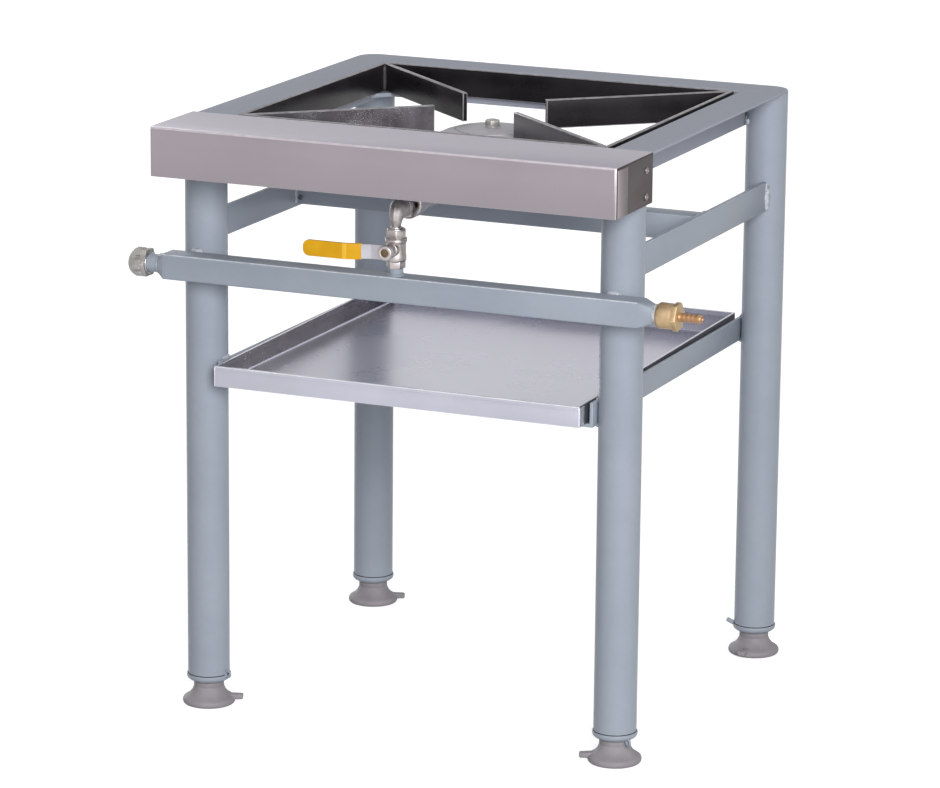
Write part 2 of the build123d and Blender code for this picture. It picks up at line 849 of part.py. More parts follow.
# Gland nut round the stem, on the end of the boss
def make_gland_nut():
    with BuildPart() as gland:
        with BuildSketch(facing_y(0, gland_front, pivot_z)):
            RegularPolygon(gland_flats / 2, 6, major_radius=False)
            Circle(stem_r + shaft_gap, mode=Mode.SUBTRACT)
        extrude(amount=gland_length)
    keep(gland, "gland_nut")


# Plan outline of a strip along the lever's cranked line
def lever_outline(start, end, skin):
    rise = lever_offset / (lever_bend_end - lever_bend_start)
    line = [(start, rise * max(0.0, start - lever_bend_start))]
    if start < lever_bend_start:
        line.append((lever_bend_start, 0.0))
    line.append((lever_bend_end, lever_offset))
    line.append((end, lever_offset))
    near = [(-along, lever_back - out + skin) for along, out in line]
    far = [(-along, lever_front - out - skin) for along, out in line]
    return near + far[::-1]


# Steel lever pointing left, with a vinyl sleeve on its grip
def make_lever():
    with BuildPart() as lever:
        with BuildSketch(Plane.XY.offset(pivot_z - lever_width / 2)):
            Polygon(*lever_outline(-lever_heel, lever_length, 0.0), align=None)
        extrude(amount=lever_width)
        ends = lever.edges().filter_by(Axis.Y).group_by(Axis.X)
        fillet(ends[0] + ends[-1], radius=lever_width / 2 - lever_tip_flat)
        with Locations((0, lever_back, pivot_z)):
            Cylinder(stem_r, 4 * lever_thick, rotation=(90, 0, 0), mode=Mode.SUBTRACT)
    keep(lever, "valve_lever")
    height = lever_width + 2 * sleeve_skin
    with BuildPart() as sleeve:
        with BuildSketch(Plane.XY.offset(pivot_z - height / 2)):
            Polygon(*lever_outline(sleeve_start, lever_length + sleeve_skin, sleeve_skin), align=None)
        extrude(amount=height)
        grip_end = sleeve.edges().filter_by(Axis.Y).group_by(Axis.X)[0]
        fillet(grip_end, radius=height / 2 - lever_tip_flat)
        add(lever.part, mode=Mode.SUBTRACT)
    keep(sleeve, "lever_sleeve")


# Round nut that holds the lever on the stem, whose end lies a little inside it
def make_lever_nut():
    with BuildPart() as nut:
        with BuildSketch(facing_y(0, lever_front, pivot_z)):
            Circle(lever_nut_dia / 2)
            Circle(stem_r, mode=Mode.SUBTRACT)
        extrude(amount=-lever_nut_height)
    keep(nut, "lever_nut")


# Line of the elbow's pipe: up out of the valve, round the bend and back
def elbow_line():
    low = (0, manifold_y, valve_top - elbow_grip)
    bend_low = (0, manifold_y, mix_z - elbow_bend)
    bend_end = (0, manifold_y + elbow_bend, mix_z)
    with BuildLine() as line:
        Line(low, bend_low)
        TangentArc(bend_low, bend_end, tangent=(0, 0, 1))
        Line(bend_end, (0, elbow_end, mix_z))
    return line.wires()[0]


# Cast elbow: a bent pipe with a rim round its outlet, which is bored for the injector's thread
def make_elbow():
    path = elbow_line()
    mouth = Plane.XY.offset(valve_top - elbow_grip)
    with BuildPart() as elbow:
        with BuildSketch(mouth):
            with Locations((0, manifold_y)):
                Circle(elbow_dia / 2)
        sweep(path=path)
        with BuildSketch(facing_y(0, elbow_end - elbow_rim, mix_z)):
            Circle(elbow_rim_dia / 2)
        extrude(amount=elbow_rim)
        with BuildSketch(mouth):
            with Locations((0, manifold_y)):
                Circle(elbow_bore / 2)
        sweep(path=path, mode=Mode.SUBTRACT)
        with BuildSketch(facing_y(0, elbow_end, mix_z)):
            Circle(injector_thread_dia / 2)
        extrude(amount=-elbow_rim, mode=Mode.SUBTRACT)
    keep(elbow, "elbow")


# Brass injector: thread in the elbow, hexagon, shank and jet
def make_injector():
    hex_end = elbow_end + injector_hex
    shank_end = hex_end + injector_shank
    tip_end = shank_end + injector_tip
    with BuildPart() as injector:
        with BuildSketch(depthwise(0, mix_z)):
            Polygon(
                (elbow_end - elbow_rim, 0),
                (elbow_end - elbow_rim, injector_thread_dia / 2),
                (elbow_end, injector_thread_dia / 2),
                (elbow_end, injector_shank_dia / 2),
                (shank_end, injector_shank_dia / 2),
                (tip_end, injector_tip_dia / 2),
                (tip_end, 0),
                align=None,
            )
        revolve(axis=Axis((0, 0, mix_z), (0, 1, 0)))
        with BuildSketch(facing_y(0, elbow_end, mix_z)):
            RegularPolygon(injector_flats / 2, 6, major_radius=False)
        extrude(amount=injector_hex)
        with BuildSketch(facing_y(0, elbow_end - elbow_rim, mix_z)):
            Circle(injector_bore / 2)
        extrude(amount=shank_end - elbow_end + elbow_rim, mode=Mode.SUBTRACT)
        with BuildSketch(facing_y(0, shank_end, mix_z)):
            Circle(injector_jet / 2)
        extrude(amount=injector_tip, mode=Mode.SUBTRACT)
    keep(injector, "injector")


# Disc that turns on the injector's shank to cover the air holes
def make_air_shutter():
    with BuildPart() as shutter:
        with BuildSketch(facing_y(0, shutter_front, mix_z)):
            Circle(shutter_dia / 2)
            with Locations((0, -shutter_dia / 2)):
                Rectangle(shutter_tab_width, 2 * shutter_tab_proud)
            Circle(injector_shank_dia / 2 + shaft_gap, mode=Mode.SUBTRACT)
            with PolarLocations(shutter_hole_circle_dia / 2, shutter_holes):
                Circle(shutter_hole_dia / 2, mode=Mode.SUBTRACT)
        extrude(amount=shutter_thick)
    keep(shutter, "air_shutter")


# Mixing tube: holed mouth plate, bell, throat and a widening tail into the burner
def make_mixing_tube():
    mouth_r = shutter_dia / 2
    bell_end = mouth_front + mouth_length
    throat = bell_end + mouth_taper
    tail = -burner_r + mixing_sink
    inner_front = mouth_front + mouth_plate
    inner_mouth = mouth_r - mixing_wall
    with BuildPart() as tube:
        with BuildSketch(depthwise(0, mix_z)):
            Polygon(
                (mouth_front, injector_shank_dia / 2 + seat_gap),
                (mouth_front, mouth_r),
                (bell_end, mouth_r),
                (throat, throat_dia / 2),
                (tail, mixing_dia / 2),
                (tail, mixing_dia / 2 - mixing_wall),
                (throat, throat_dia / 2 - mixing_wall),
                (bell_end, inner_mouth),
                (inner_front, inner_mouth),
                (inner_front, injector_shank_dia / 2 + seat_gap),
                align=None,
            )
        revolve(axis=Axis((0, 0, mix_z), (0, 1, 0)))
        with BuildSketch(facing_y(0, mouth_front, mix_z)):
            with PolarLocations(shutter_hole_circle_dia / 2, shutter_holes):
                Circle(shutter_hole_dia / 2)
        extrude(amount=mouth_plate, mode=Mode.SUBTRACT)
    keep(tube, "mixing_tube")


# Cast burner bowl on its boss, with flame ports cut across the rim
def make_burner_bowl():
    inner_r = burner_r - burner_wall
    post_r = burner_post_dia / 2
    post_top = cap_crown - burner_cap_thick
    tail_r = mixing_dia / 2 + bolt_gap
    with BuildPart() as bowl:
        with BuildSketch(upright(0, 0)):
            Polygon(
                (0, cross_top),
                (burner_boss_dia / 2, cross_top),
                (burner_boss_dia / 2, bowl_under),
                (burner_r - burner_wall, bowl_under),
                (burner_r, bowl_under + burner_wall),
                (burner_r, bowl_rim),
                (inner_r, bowl_rim),
                (inner_r, bowl_floor),
                (post_r, bowl_floor),
                (post_r, post_top),
                (0, post_top),
                align=None,
            )
        revolve(axis=Axis.Z)
        with BuildSketch(facing_y(0, -burner_r - burner_neck + burner_wall, mix_z)):
            Circle(burner_neck_dia / 2)
        extrude(amount=burner_neck)
        with BuildSketch(facing_y(0, -burner_r - burner_neck, mix_z)):
            Circle(tail_r)
        extrude(amount=burner_neck + mixing_sink, mode=Mode.SUBTRACT)
        with Locations((0, 0, bowl_rim)):
            with PolarLocations(burner_r - burner_wall / 2, port_count):
                Box(3 * burner_wall, port_width, 2 * port_depth, mode=Mode.SUBTRACT)
        with Locations((0, 0, (cross_top + cap_crown) / 2)):
            Cylinder(bolt_r + bolt_gap, 2 * (cap_crown - cross_top), mode=Mode.SUBTRACT)
    keep(bowl, "burner_bowl")


# Domed cap over the bowl, with a ring groove halfway out
def make_burner_cap():
    edge_r = burner_cap_dia / 2
    crown_r = burner_cap_crown_dia / 2
    seat_r = burner_r - burner_wall
    hole_r = bolt_r + bolt_gap
    edge_top = bowl_rim + burner_cap_edge
    under_crown = cap_crown - burner_cap_thick
    dome_r = (edge_r + crown_r) / 2
    dome_z = edge_top + burner_cap_fullness * (cap_crown - edge_top)
    with BuildPart() as cap:
        with BuildSketch(upright(0, 0)):
            with BuildLine():
                Polyline((edge_r, edge_top), (edge_r, bowl_rim), (seat_r, bowl_rim))
                Line((seat_r, bowl_rim), (crown_r, under_crown))
                Polyline((crown_r, under_crown), (hole_r, under_crown), (hole_r, cap_crown))
                Line((hole_r, cap_crown), (crown_r, cap_crown))
                ThreePointArc((crown_r, cap_crown), (dome_r, dome_z), (edge_r, edge_top))
            make_face()
        revolve(axis=Axis.Z)
        with BuildSketch(Plane.XY.offset(dome_z - cap_groove_depth)):
            Circle(dome_r + cap_groove_width / 2)
            Circle(dome_r - cap_groove_width / 2, mode=Mode.SUBTRACT)
        extrude(amount=cap_crown - dome_z + cap_groove_depth, mode=Mode.SUBTRACT)
    keep(cap, "burner_cap")


# Long bolt through cap, bowl and crossbar, and its nut
def make_burner_bolt():
    nut_top = cross_top - cross_thick
    low = nut_top - nut_height - bolt_tail
    with BuildPart() as bolt:
        with BuildSketch(Plane.XY.offset(low)):
            Circle(bolt_r)
        extrude(amount=cap_crown - low)
        with BuildSketch(Plane.XY.offset(cap_crown)):
            RegularPolygon(bolt_flats / 2, 6, major_radius=False)
        extrude(amount=bolt_head)
    keep(bolt, "burner_bolt")
    with BuildPart() as nut:
        with BuildSketch(Plane.XY.offset(nut_top - nut_height)):
            RegularPolygon(bolt_flats / 2, 6, major_radius=False)
            Circle(bolt_r, mode=Mode.SUBTRACT)
        extrude(amount=nut_height)
    keep(nut, "burner_nut")


os.makedirs("parts", exist_ok=True)

for corner, (side, end) in corners.items():
    make_leg(f"leg_{corner}", side * leg_x, end * leg_y)
    make_leg_cap(f"leg_cap_{corner}", side * leg_x, end * leg_y)
    make_foot(f"foot_{corner}", side * leg_x, end * leg_y, tab_angles[corner])
    make_foot_stud(f"foot_stud_{corner}", side * leg_x, end * leg_y)

for name, side in (("left", -1), ("right", 1)):
    plan = [(open_x, -open_y), (open_x, open_y), (frame_x, frame_y), (frame_x, -frame_y)]
    outside = open_x + rail_sheet
    strip = [(open_x, -skirt_y), (open_x, skirt_y), (outside, skirt_y), (outside, -skirt_y)]
    make_rail(f"top_rail_{name}", [(side * x, y) for x, y in plan], [(side * x, y) for x, y in strip])
    make_side_bar(f"side_bar_{name}", side)
    make_runner(f"tray_runner_{name}", side)
for name, end in (("front", -1), ("back", 1)):
    plan = [(-open_x, open_y), (open_x, open_y), (frame_x, frame_y), (-frame_x, frame_y)]
    outside = open_y + rail_sheet
    strip = [(-open_x, open_y), (open_x, open_y), (open_x, outside), (-open_x, outside)]
    make_rail(f"top_rail_{name}", [(x, end * y) for x, y in plan], [(x, end * y) for x, y in strip])

make_trivet_lugs()
make_trivet_ring()
make_trivet_spokes()
make_fascia()
make_fascia_rivets()
make_crossbar()
make_tray()
make_manifold()
make_nipples()
make_end_cap()
make_hose_connector()
make_valve_nipple()
make_valve_body()
make_valve_insert()
make_valve_seats()
make_valve_ball()
make_valve_stem()
make_gland_nut()
make_lever()
make_lever_nut()
make_elbow()
make_injector()
make_air_shutter()
make_mixing_tube()
make_burner_bowl()
make_burner_cap()
make_burner_bolt()
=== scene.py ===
import json
import math
import random

import bmesh
import bpy
from mathutils import Matrix, Vector


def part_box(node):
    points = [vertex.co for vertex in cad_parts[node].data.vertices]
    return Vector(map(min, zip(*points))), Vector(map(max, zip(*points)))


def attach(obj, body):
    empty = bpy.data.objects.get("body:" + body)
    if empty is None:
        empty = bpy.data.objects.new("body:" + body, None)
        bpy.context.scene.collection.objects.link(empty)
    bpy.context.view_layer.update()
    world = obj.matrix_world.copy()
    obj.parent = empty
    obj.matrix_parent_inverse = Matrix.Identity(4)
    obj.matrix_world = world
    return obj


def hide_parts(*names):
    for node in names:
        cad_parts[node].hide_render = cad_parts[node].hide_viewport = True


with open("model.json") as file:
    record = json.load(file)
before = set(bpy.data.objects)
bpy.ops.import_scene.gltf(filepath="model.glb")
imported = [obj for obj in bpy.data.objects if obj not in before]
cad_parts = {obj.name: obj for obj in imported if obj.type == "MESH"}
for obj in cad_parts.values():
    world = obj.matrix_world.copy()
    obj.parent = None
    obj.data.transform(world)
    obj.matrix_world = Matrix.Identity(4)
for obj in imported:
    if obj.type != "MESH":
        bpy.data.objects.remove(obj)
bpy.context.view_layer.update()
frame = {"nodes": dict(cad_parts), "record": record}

record = frame["record"]
bodyOf = {node: body for body, nodes in record["behaviour"]["bodies"].items() for node in nodes}
slotOf = {entry["node"]: entry["material_slot"] for entry in record["subparts"]}
corners = ("front_left", "front_right", "back_left", "back_right")
print("frame loaded with", len(bodyOf), "nodes")


# small helpers
mm = 0.001


def addObject(name, data):
    made = bpy.data.objects.new(name, data)
    bpy.context.scene.collection.objects.link(made)
    return made


def toMesh(name, bm):
    mesh = bpy.data.meshes.new(name)
    bm.to_mesh(mesh)
    bm.free()
    return mesh


def rotation(degrees, axis):
    return Matrix.Rotation(math.radians(degrees), 4, axis)


def aimed(along, axis="Z"):  # turns an axis to point along a vector
    return along.to_track_quat(axis, "Y").to_matrix().to_4x4()


# camera and light
view = dict(place=(2.0209, -4.7229, 1.6244), turn=23.43, dip=13.87, roll=0.52, focalPixels=4382.6,
    imageWidth=940, sensor=36.0, farClip=60.0)


def placeCamera():
    lens = bpy.data.cameras.new("photoCamera")
    lens.sensor_width = view["sensor"]
    lens.sensor_fit = "HORIZONTAL"
    lens.lens = view["focalPixels"] / view["imageWidth"] * view["sensor"]
    lens.clip_end = view["farClip"]
    camera = addObject("photoCamera", lens)
    turn = rotation(view["turn"], "Z")
    dip = rotation(90 - view["dip"], "X")
    roll = rotation(view["roll"], "Z")
    camera.matrix_world = Matrix.Translation(view["place"]) @ turn @ dip @ roll
    bpy.context.scene.camera = camera


# each lamp is a softbox with its place, size and power, aimed at the table
studio = dict(floorSize=30.0, floorColour=(0.42, 0.42, 0.42), floorGlow=0.78, floorRough=0.9, floorShade=0.98,
    floorBlotch=2.0, worldFill=0.31, aim=(0.0, -0.1, 0.4), lamps=dict(keyRight=((3.40, -5.17, 2.62), 3.2, 356.0),
    sideRight=((2.85, -1.95, 0.6), 0.8, 6.0), backLeft=((-4.6, 3.4, 1.5), 3.0, 125.0)))


def lightStudio():
    for name, (place, size, power) in studio["lamps"].items():
        lamp = bpy.data.lights.new(name, "AREA")
        lamp.shape = "DISK"
        lamp.size = size
        lamp.energy = power
        box = addObject(name, lamp)
        box.visible_camera = False
        aim = Vector(studio["aim"]) - Vector(place)
        box.matrix_world = Matrix.Translation(place) @ aimed(aim, "-Z")


# node helpers
def feed(tree, socket, value):
    if isinstance(value, bpy.types.NodeSocket):
        tree.links.new(value, socket)
    elif socket.type == "RGBA" and len(value) == 3:
        socket.default_value = (*value, 1.0)
    else:
        socket.default_value = value


def feedAll(tree, node, **values):
    for key, value in values.items():
        feed(tree, node.inputs[key.replace("_", " ")], value)
    return node


def addNode(tree, kind, settings=None, **values):
    node = tree.nodes.new("ShaderNode" + kind)
    for key, value in (settings or {}).items():
        setattr(node, key, value)
    return feedAll(tree, node, **values)


def useGroup(tree, group, place, **values):
    return addNode(tree, "Group", {"node_tree": group}, Vector=place, **values).outputs


def mathNode(tree, operation, first, second):
    node = addNode(tree, "Math", {"operation": operation})
    feed(tree, node.inputs[0], first)
    feed(tree, node.inputs[1], second)
    return node.outputs[0]


def noise(tree, given, scale, **values):
    return addNode(tree, "TexNoise", Vector=given["Vector"], Scale=scale, **values).outputs["Fac"]


def mapRange(tree, value, **values):
    return addNode(tree, "MapRange", Value=value, **values).outputs["Result"]


def mixColour(tree, share, first, second, clamp=True):
    return addNode(tree, "MixRGB", {"use_clamp": clamp}, Fac=share, Color1=first, Color2=second).outputs["Color"]


def newMaterial(name):  # with its tree, its shader and the place that textures go by
    material = bpy.data.materials.new(name)
    material.use_nodes = True
    tree = material.node_tree
    return material, tree, tree.nodes["Principled BSDF"], addNode(tree, "TexCoord").outputs["Object"]


def newGroup(name, outputs, **inputs):  # an effect starts from a vector; inputs without a value are colours
    tree = bpy.data.node_groups.new(name, "ShaderNodeTree")
    tree.interface.new_socket(name="Vector", in_out="INPUT", socket_type="NodeSocketVector")
    for label, value in inputs.items():
        kind = "NodeSocketColor" if value is None else "NodeSocketFloat"
        socket = tree.interface.new_socket(name=label, in_out="INPUT", socket_type=kind)
        if value is not None:
            socket.default_value = value
    for label in outputs:
        kind = "NodeSocketColor" if label == "Colour" else "NodeSocketFloat"
        tree.interface.new_socket(name=label, in_out="OUTPUT", socket_type=kind)
    return tree, tree.nodes.new("NodeGroupInput").outputs, tree.nodes.new("NodeGroupOutput").inputs


# shared effects
def makeToneGroup():  # two colours mixed in soft blotches with a fine grain over them
    tree, given, out = newGroup("toneBlotches", ("Colour", "Mask"), Light=None, Dark=None, Scale=12.0, Grain=0.3)
    blotch = noise(tree, given, given["Scale"], Detail=4.0, Roughness=0.6)
    grain = noise(tree, given, mathNode(tree, "MULTIPLY", given["Scale"], 22.0), Detail=2.0)
    spread = mapRange(tree, blotch, From_Min=0.32, From_Max=0.68)
    grainShift = mathNode(tree, "MULTIPLY", mathNode(tree, "SUBTRACT", grain, 0.5), given["Grain"])
    mask = mathNode(tree, "ADD", spread, grainShift)
    feed(tree, out["Colour"], mixColour(tree, mask, given["Dark"], given["Light"]))
    feed(tree, out["Mask"], mask)
    return tree


def makeSkinGroup():  # height of a rolled, cast or sprayed skin: cells with noise between them
    tree, given, out = newGroup("surfaceSkin", ("Height",), Cells=300.0, Rough=0.5)
    cells = addNode(tree, "TexVoronoi", {"feature": "SMOOTH_F1"}, Vector=given["Vector"], Scale=given["Cells"])
    between = noise(tree, given, given["Cells"], Detail=3.0)
    rough = mathNode(tree, "MULTIPLY", between, given["Rough"])
    feed(tree, out["Height"], mathNode(tree, "ADD", cells.outputs["Distance"], rough))
    return tree


def makeSmudgeGroup():  # handling marks: wiped patches with thin lines in them
    tree, given, out = newGroup("handlingMarks", ("Mask",), Scale=6.0, Amount=0.5)
    patch = noise(tree, given, given["Scale"], Detail=5.0, Distortion=1.2)
    lines = addNode(tree, "TexWave", {"wave_type": "BANDS", "bands_direction": "DIAGONAL"}, Vector=given["Vector"],
        Scale=given["Scale"], Distortion=14.0, Detail=3.0, Detail_Scale=2.0)
    marked = mathNode(tree, "MULTIPLY", mapRange(tree, patch, From_Min=0.48, From_Max=0.7), lines.outputs["Fac"])
    feed(tree, out["Mask"], mathNode(tree, "MULTIPLY", marked, given["Amount"]))
    return tree


def makeBrushGroup():  # long thin lines left by rolling or a brush; the vector is stretched by the material
    tree, given, out = newGroup("brushedLines", ("Mask",), Scale=60.0)
    feed(tree, out["Mask"], noise(tree, given, given["Scale"], Detail=6.0, Roughness=0.7))
    return tree


def makeWearGroup():  # rubbed edges and painted edge highlights: the edge mask, broken up by noise
    tree, given, out = newGroup("edgeRubAndHighlight", ("Colour",), Edge=0.0, Break=1.0, Colour=None, Worn=None)
    patch = noise(tree, given, 90.0, Detail=4.0)
    missing = mapRange(tree, patch, From_Min=0.35, From_Max=0.65, To_Min=1.0, To_Max=0.0)
    kept = mathNode(tree, "SUBTRACT", 1.0, mathNode(tree, "MULTIPLY", missing, given["Break"]))
    share = mathNode(tree, "MULTIPLY", kept, given["Edge"])
    feed(tree, out["Colour"], mixColour(tree, share, given["Colour"], given["Worn"], clamp=False))
    return tree


def makeSpeckGroup():  # small scattered dots
    tree, given, out = newGroup("scatteredSpecks", ("Mask",), Scale=300.0, Amount=0.5)
    dots = noise(tree, given, given["Scale"], Detail=2.0)
    area = noise(tree, given, 18.0, Detail=2.0)
    thick = mapRange(tree, area, From_Min=0.35, From_Max=0.65, To_Min=0.72, To_Max=0.46)
    shown = mapRange(tree, mathNode(tree, "SUBTRACT", dots, thick), From_Max=0.08)
    feed(tree, out["Mask"], mathNode(tree, "MULTIPLY", shown, given["Amount"]))
    return tree


toneGroup = makeToneGroup()
skinGroup = makeSkinGroup()
smudgeGroup = makeSmudgeGroup()
brushGroup = makeBrushGroup()
wearGroup = makeWearGroup()
speckGroup = makeSpeckGroup()


# finishes: light and dark tone, metal share, low and high roughness, blotch and cell sizes, bump in millimetres
usual = dict(metal=0, marks=0.2, shine=0.5, broken=1, grain=0.3)
paint = dict(cells=420, bump=0.08)
greyPaint = dict(paint, light=(0.334, 0.372, 0.432), dark=(0.298, 0.335, 0.393), blotch=9)
weldSkin = dict(cells=500, bump=0.4)
enamel = dict(paint, rough=(0.26, 0.42), marks=0.3)
sheet = dict(metal=1, cells=900, bump=0.02, marks=0.25, rough=(0.36, 0.46), blotch=5)
pan = dict(cells=240, bump=0.01, blotch=16)
yellowMetal = dict(metal=0.85, cells=1500, bump=0.06, marks=0.4)
finishes = dict(
    framePaint=dict(greyPaint, rough=(0.28, 0.42), shine=0.22, worn=(0.42, 0.46, 0.52)),
    # its pale edge colour paints the highlight along the manifold's upper front edge
    manifoldPaint=dict(greyPaint, rough=(0.36, 0.5), shine=0.14, worn=(0.72, 0.75, 0.8), broken=0.6),
    # a lighter, bluer copy of the frame paint for the top rails, a painted sheen, with blotches that stand partly for
    # soft reflections
    railPaintSheen=dict(paint, light=(0.4, 0.42, 0.49), dark=(0.335, 0.355, 0.415), rough=(0.42, 0.6),
        blotch=5, bump=0.06, marks=0.5, shine=0.07, worn=(0.42, 0.46, 0.52), smear=(0.39, 0.41, 0.46)),
    # pale with dark blotches: painted glints and painted shade on the lumpy beads
    weldGlintPaint=dict(weldSkin, light=(0.62, 0.65, 0.7), dark=(0.2, 0.22, 0.25), rough=(0.24, 0.44),
        blotch=190),
    weldDark=dict(weldSkin, light=(0.16, 0.175, 0.2), dark=(0.05, 0.055, 0.065), rough=(0.3, 0.5),
        blotch=160, shine=0.4),
    # its pale edge colour paints highlights on the bars' upper faces
    trivetBlack=dict(enamel, light=(0.0195, 0.0165, 0.02), dark=(0.0088, 0.0074, 0.009), blotch=14,
        shine=0.16, worn=(0.33, 0.315, 0.335), broken=0.45),
    trivetGrey=dict(enamel, light=(0.098, 0.087, 0.102), dark=(0.049, 0.043, 0.051), blotch=22, bump=0.12,
        shine=0.2, worn=(0.3, 0.29, 0.305)),
    # painted glints: a paler black with white specks, darker towards the spoke's corner end
    spokeGlints=dict(enamel, light=(0.15, 0.137, 0.156), dark=(0.075, 0.068, 0.078), blotch=26, bump=0.12,
        shine=0.2, worn=(0.3, 0.29, 0.305), speck=(950, 0.8, (0.42, 0.4, 0.43)),
        sweep=(-0.095, -0.175, (0.042, 0.038, 0.044))),
    stainless=dict(sheet, light=(0.368, 0.329, 0.361), dark=(0.338, 0.301, 0.331), stretch=(1, 40, 40),
        worn=(0.66, 0.62, 0.66), broken=0.3),
    # a painted reflection tint for the fascia's top faces
    stainlessTop=dict(sheet, light=(0.34, 0.314, 0.37), dark=(0.314, 0.29, 0.342), stretch=(1, 40, 40)),
    # painted shade: a dark brown copy of the sheet finish for the end returns, standing for the dark they reflect
    stainlessEndShade=dict(sheet, light=(0.061, 0.042, 0.045), dark=(0.042, 0.028, 0.03), rough=(0.34, 0.46), blotch=8,
        stretch=(40, 1, 40)),
    # painted reflection: lighter at the tab's front edge, running darker towards the back
    stainlessTab=dict(sheet, light=(0.4, 0.36, 0.37), dark=(0.34, 0.3, 0.31), rough=(0.3, 0.4), blotch=8,
        stretch=(40, 40, 1), sweep=(-0.3235, -0.299, (0.1, 0.078, 0.08))),
    # near-black strips painted as the shadow inside slits and gaps
    gapShadow=dict(light=(0.03, 0.026, 0.027), dark=(0.016, 0.014, 0.015), rough=(0.6, 0.8), blotch=60,
        cells=900, bump=0.1),
    # its pale edge colour paints bright highlight lines along the tray's softened edges
    galvanised=dict(pan, light=(0.545, 0.54, 0.628), dark=(0.455, 0.452, 0.53), metal=0.8, rough=(0.2, 0.32),
        blotch=5, marks=0.06, grain=0.04, worn=(0.85, 0.85, 0.9), broken=0.4, smear=(0.41, 0.405, 0.46)),
    # painted dark reflection for the tray's inner left wall
    trayShade=dict(pan, light=(0.2, 0.185, 0.195), dark=(0.13, 0.12, 0.127), metal=1, rough=(0.2, 0.36),
        marks=0.8, worn=(0.5, 0.5, 0.54)),
    # painted shadow for the outer faces of the tray's side walls
    trayShadow=dict(pan, light=(0.085, 0.086, 0.108), dark=(0.045, 0.045, 0.058), metal=0.2, rough=(0.5, 0.7),
        marks=0.4, shine=0.2),
    castZinc=dict(light=(0.44, 0.425, 0.41), dark=(0.27, 0.26, 0.25), metal=0.7, rough=(0.4, 0.6),
        blotch=90, cells=900, bump=0.2, worn=(0.62, 0.61, 0.6)),
    brass=dict(yellowMetal, light=(0.53, 0.385, 0.23), dark=(0.385, 0.27, 0.145), rough=(0.38, 0.56),
        blotch=60, worn=(0.66, 0.5, 0.28)),
    tailBrass=dict(yellowMetal, light=(0.5, 0.3, 0.16), dark=(0.36, 0.2, 0.1), rough=(0.36, 0.52),
        blotch=80, worn=(0.72, 0.5, 0.3)),
    agedBrass=dict(yellowMetal, light=(0.2, 0.14, 0.075), dark=(0.09, 0.06, 0.035), metal=0.9, rough=(0.4, 0.6),
        blotch=200, bump=0.05),
    whiteTape=dict(light=(0.7, 0.7, 0.78), dark=(0.52, 0.52, 0.6), rough=(0.5, 0.7), blotch=120,
        cells=2500, bump=0.1, marks=0.1),
    nickel=dict(light=(0.5, 0.46, 0.45), dark=(0.36, 0.325, 0.32), metal=1, rough=(0.38, 0.55),
        blotch=70, cells=1400, bump=0.02, marks=0.4, worn=(0.62, 0.59, 0.6)),
    leverPlate=dict(light=(0.465, 0.455, 0.5), dark=(0.39, 0.38, 0.415), metal=1, rough=(0.28, 0.42),
        blotch=30, cells=1400, bump=0.01, worn=(0.66, 0.64, 0.68)),
    # its pale edge colour paints the highlight on the sleeve's bend
    yellowVinyl=dict(light=(0.7, 0.375, 0.01), dark=(0.61, 0.295, 0.008), rough=(0.28, 0.42), blotch=30,
        cells=800, bump=0.02, marks=0.1, shine=0.2, worn=(0.88, 0.58, 0.08), broken=0.3),
    castGrey=dict(light=(0.43, 0.42, 0.452), dark=(0.31, 0.303, 0.326), metal=0.35, rough=(0.4, 0.6),
        blotch=40, cells=800, bump=0.2, worn=(0.45, 0.44, 0.46)),
    castNickel=dict(light=(0.43, 0.4, 0.405), dark=(0.25, 0.225, 0.225), metal=0.8, rough=(0.44, 0.62),
        blotch=170, cells=700, bump=0.3, marks=0.4, worn=(0.6, 0.57, 0.57)),
    rivetSteel=dict(light=(0.3, 0.26, 0.265), dark=(0.15, 0.125, 0.128), metal=1, rough=(0.3, 0.46),
        blotch=300, cells=1500, bump=0.02, marks=0.3),
    zincBright=dict(light=(0.55, 0.54, 0.56), dark=(0.4, 0.39, 0.41), metal=1, rough=(0.24, 0.4),
        blotch=60, cells=1500, bump=0.02, marks=0.3, worn=(0.7, 0.7, 0.72)),
    cupRubber=dict(light=(0.315, 0.296, 0.316), dark=(0.248, 0.231, 0.249), rough=(0.5, 0.72), blotch=30,
        cells=1200, bump=0.05, marks=0.35, shine=0.3))


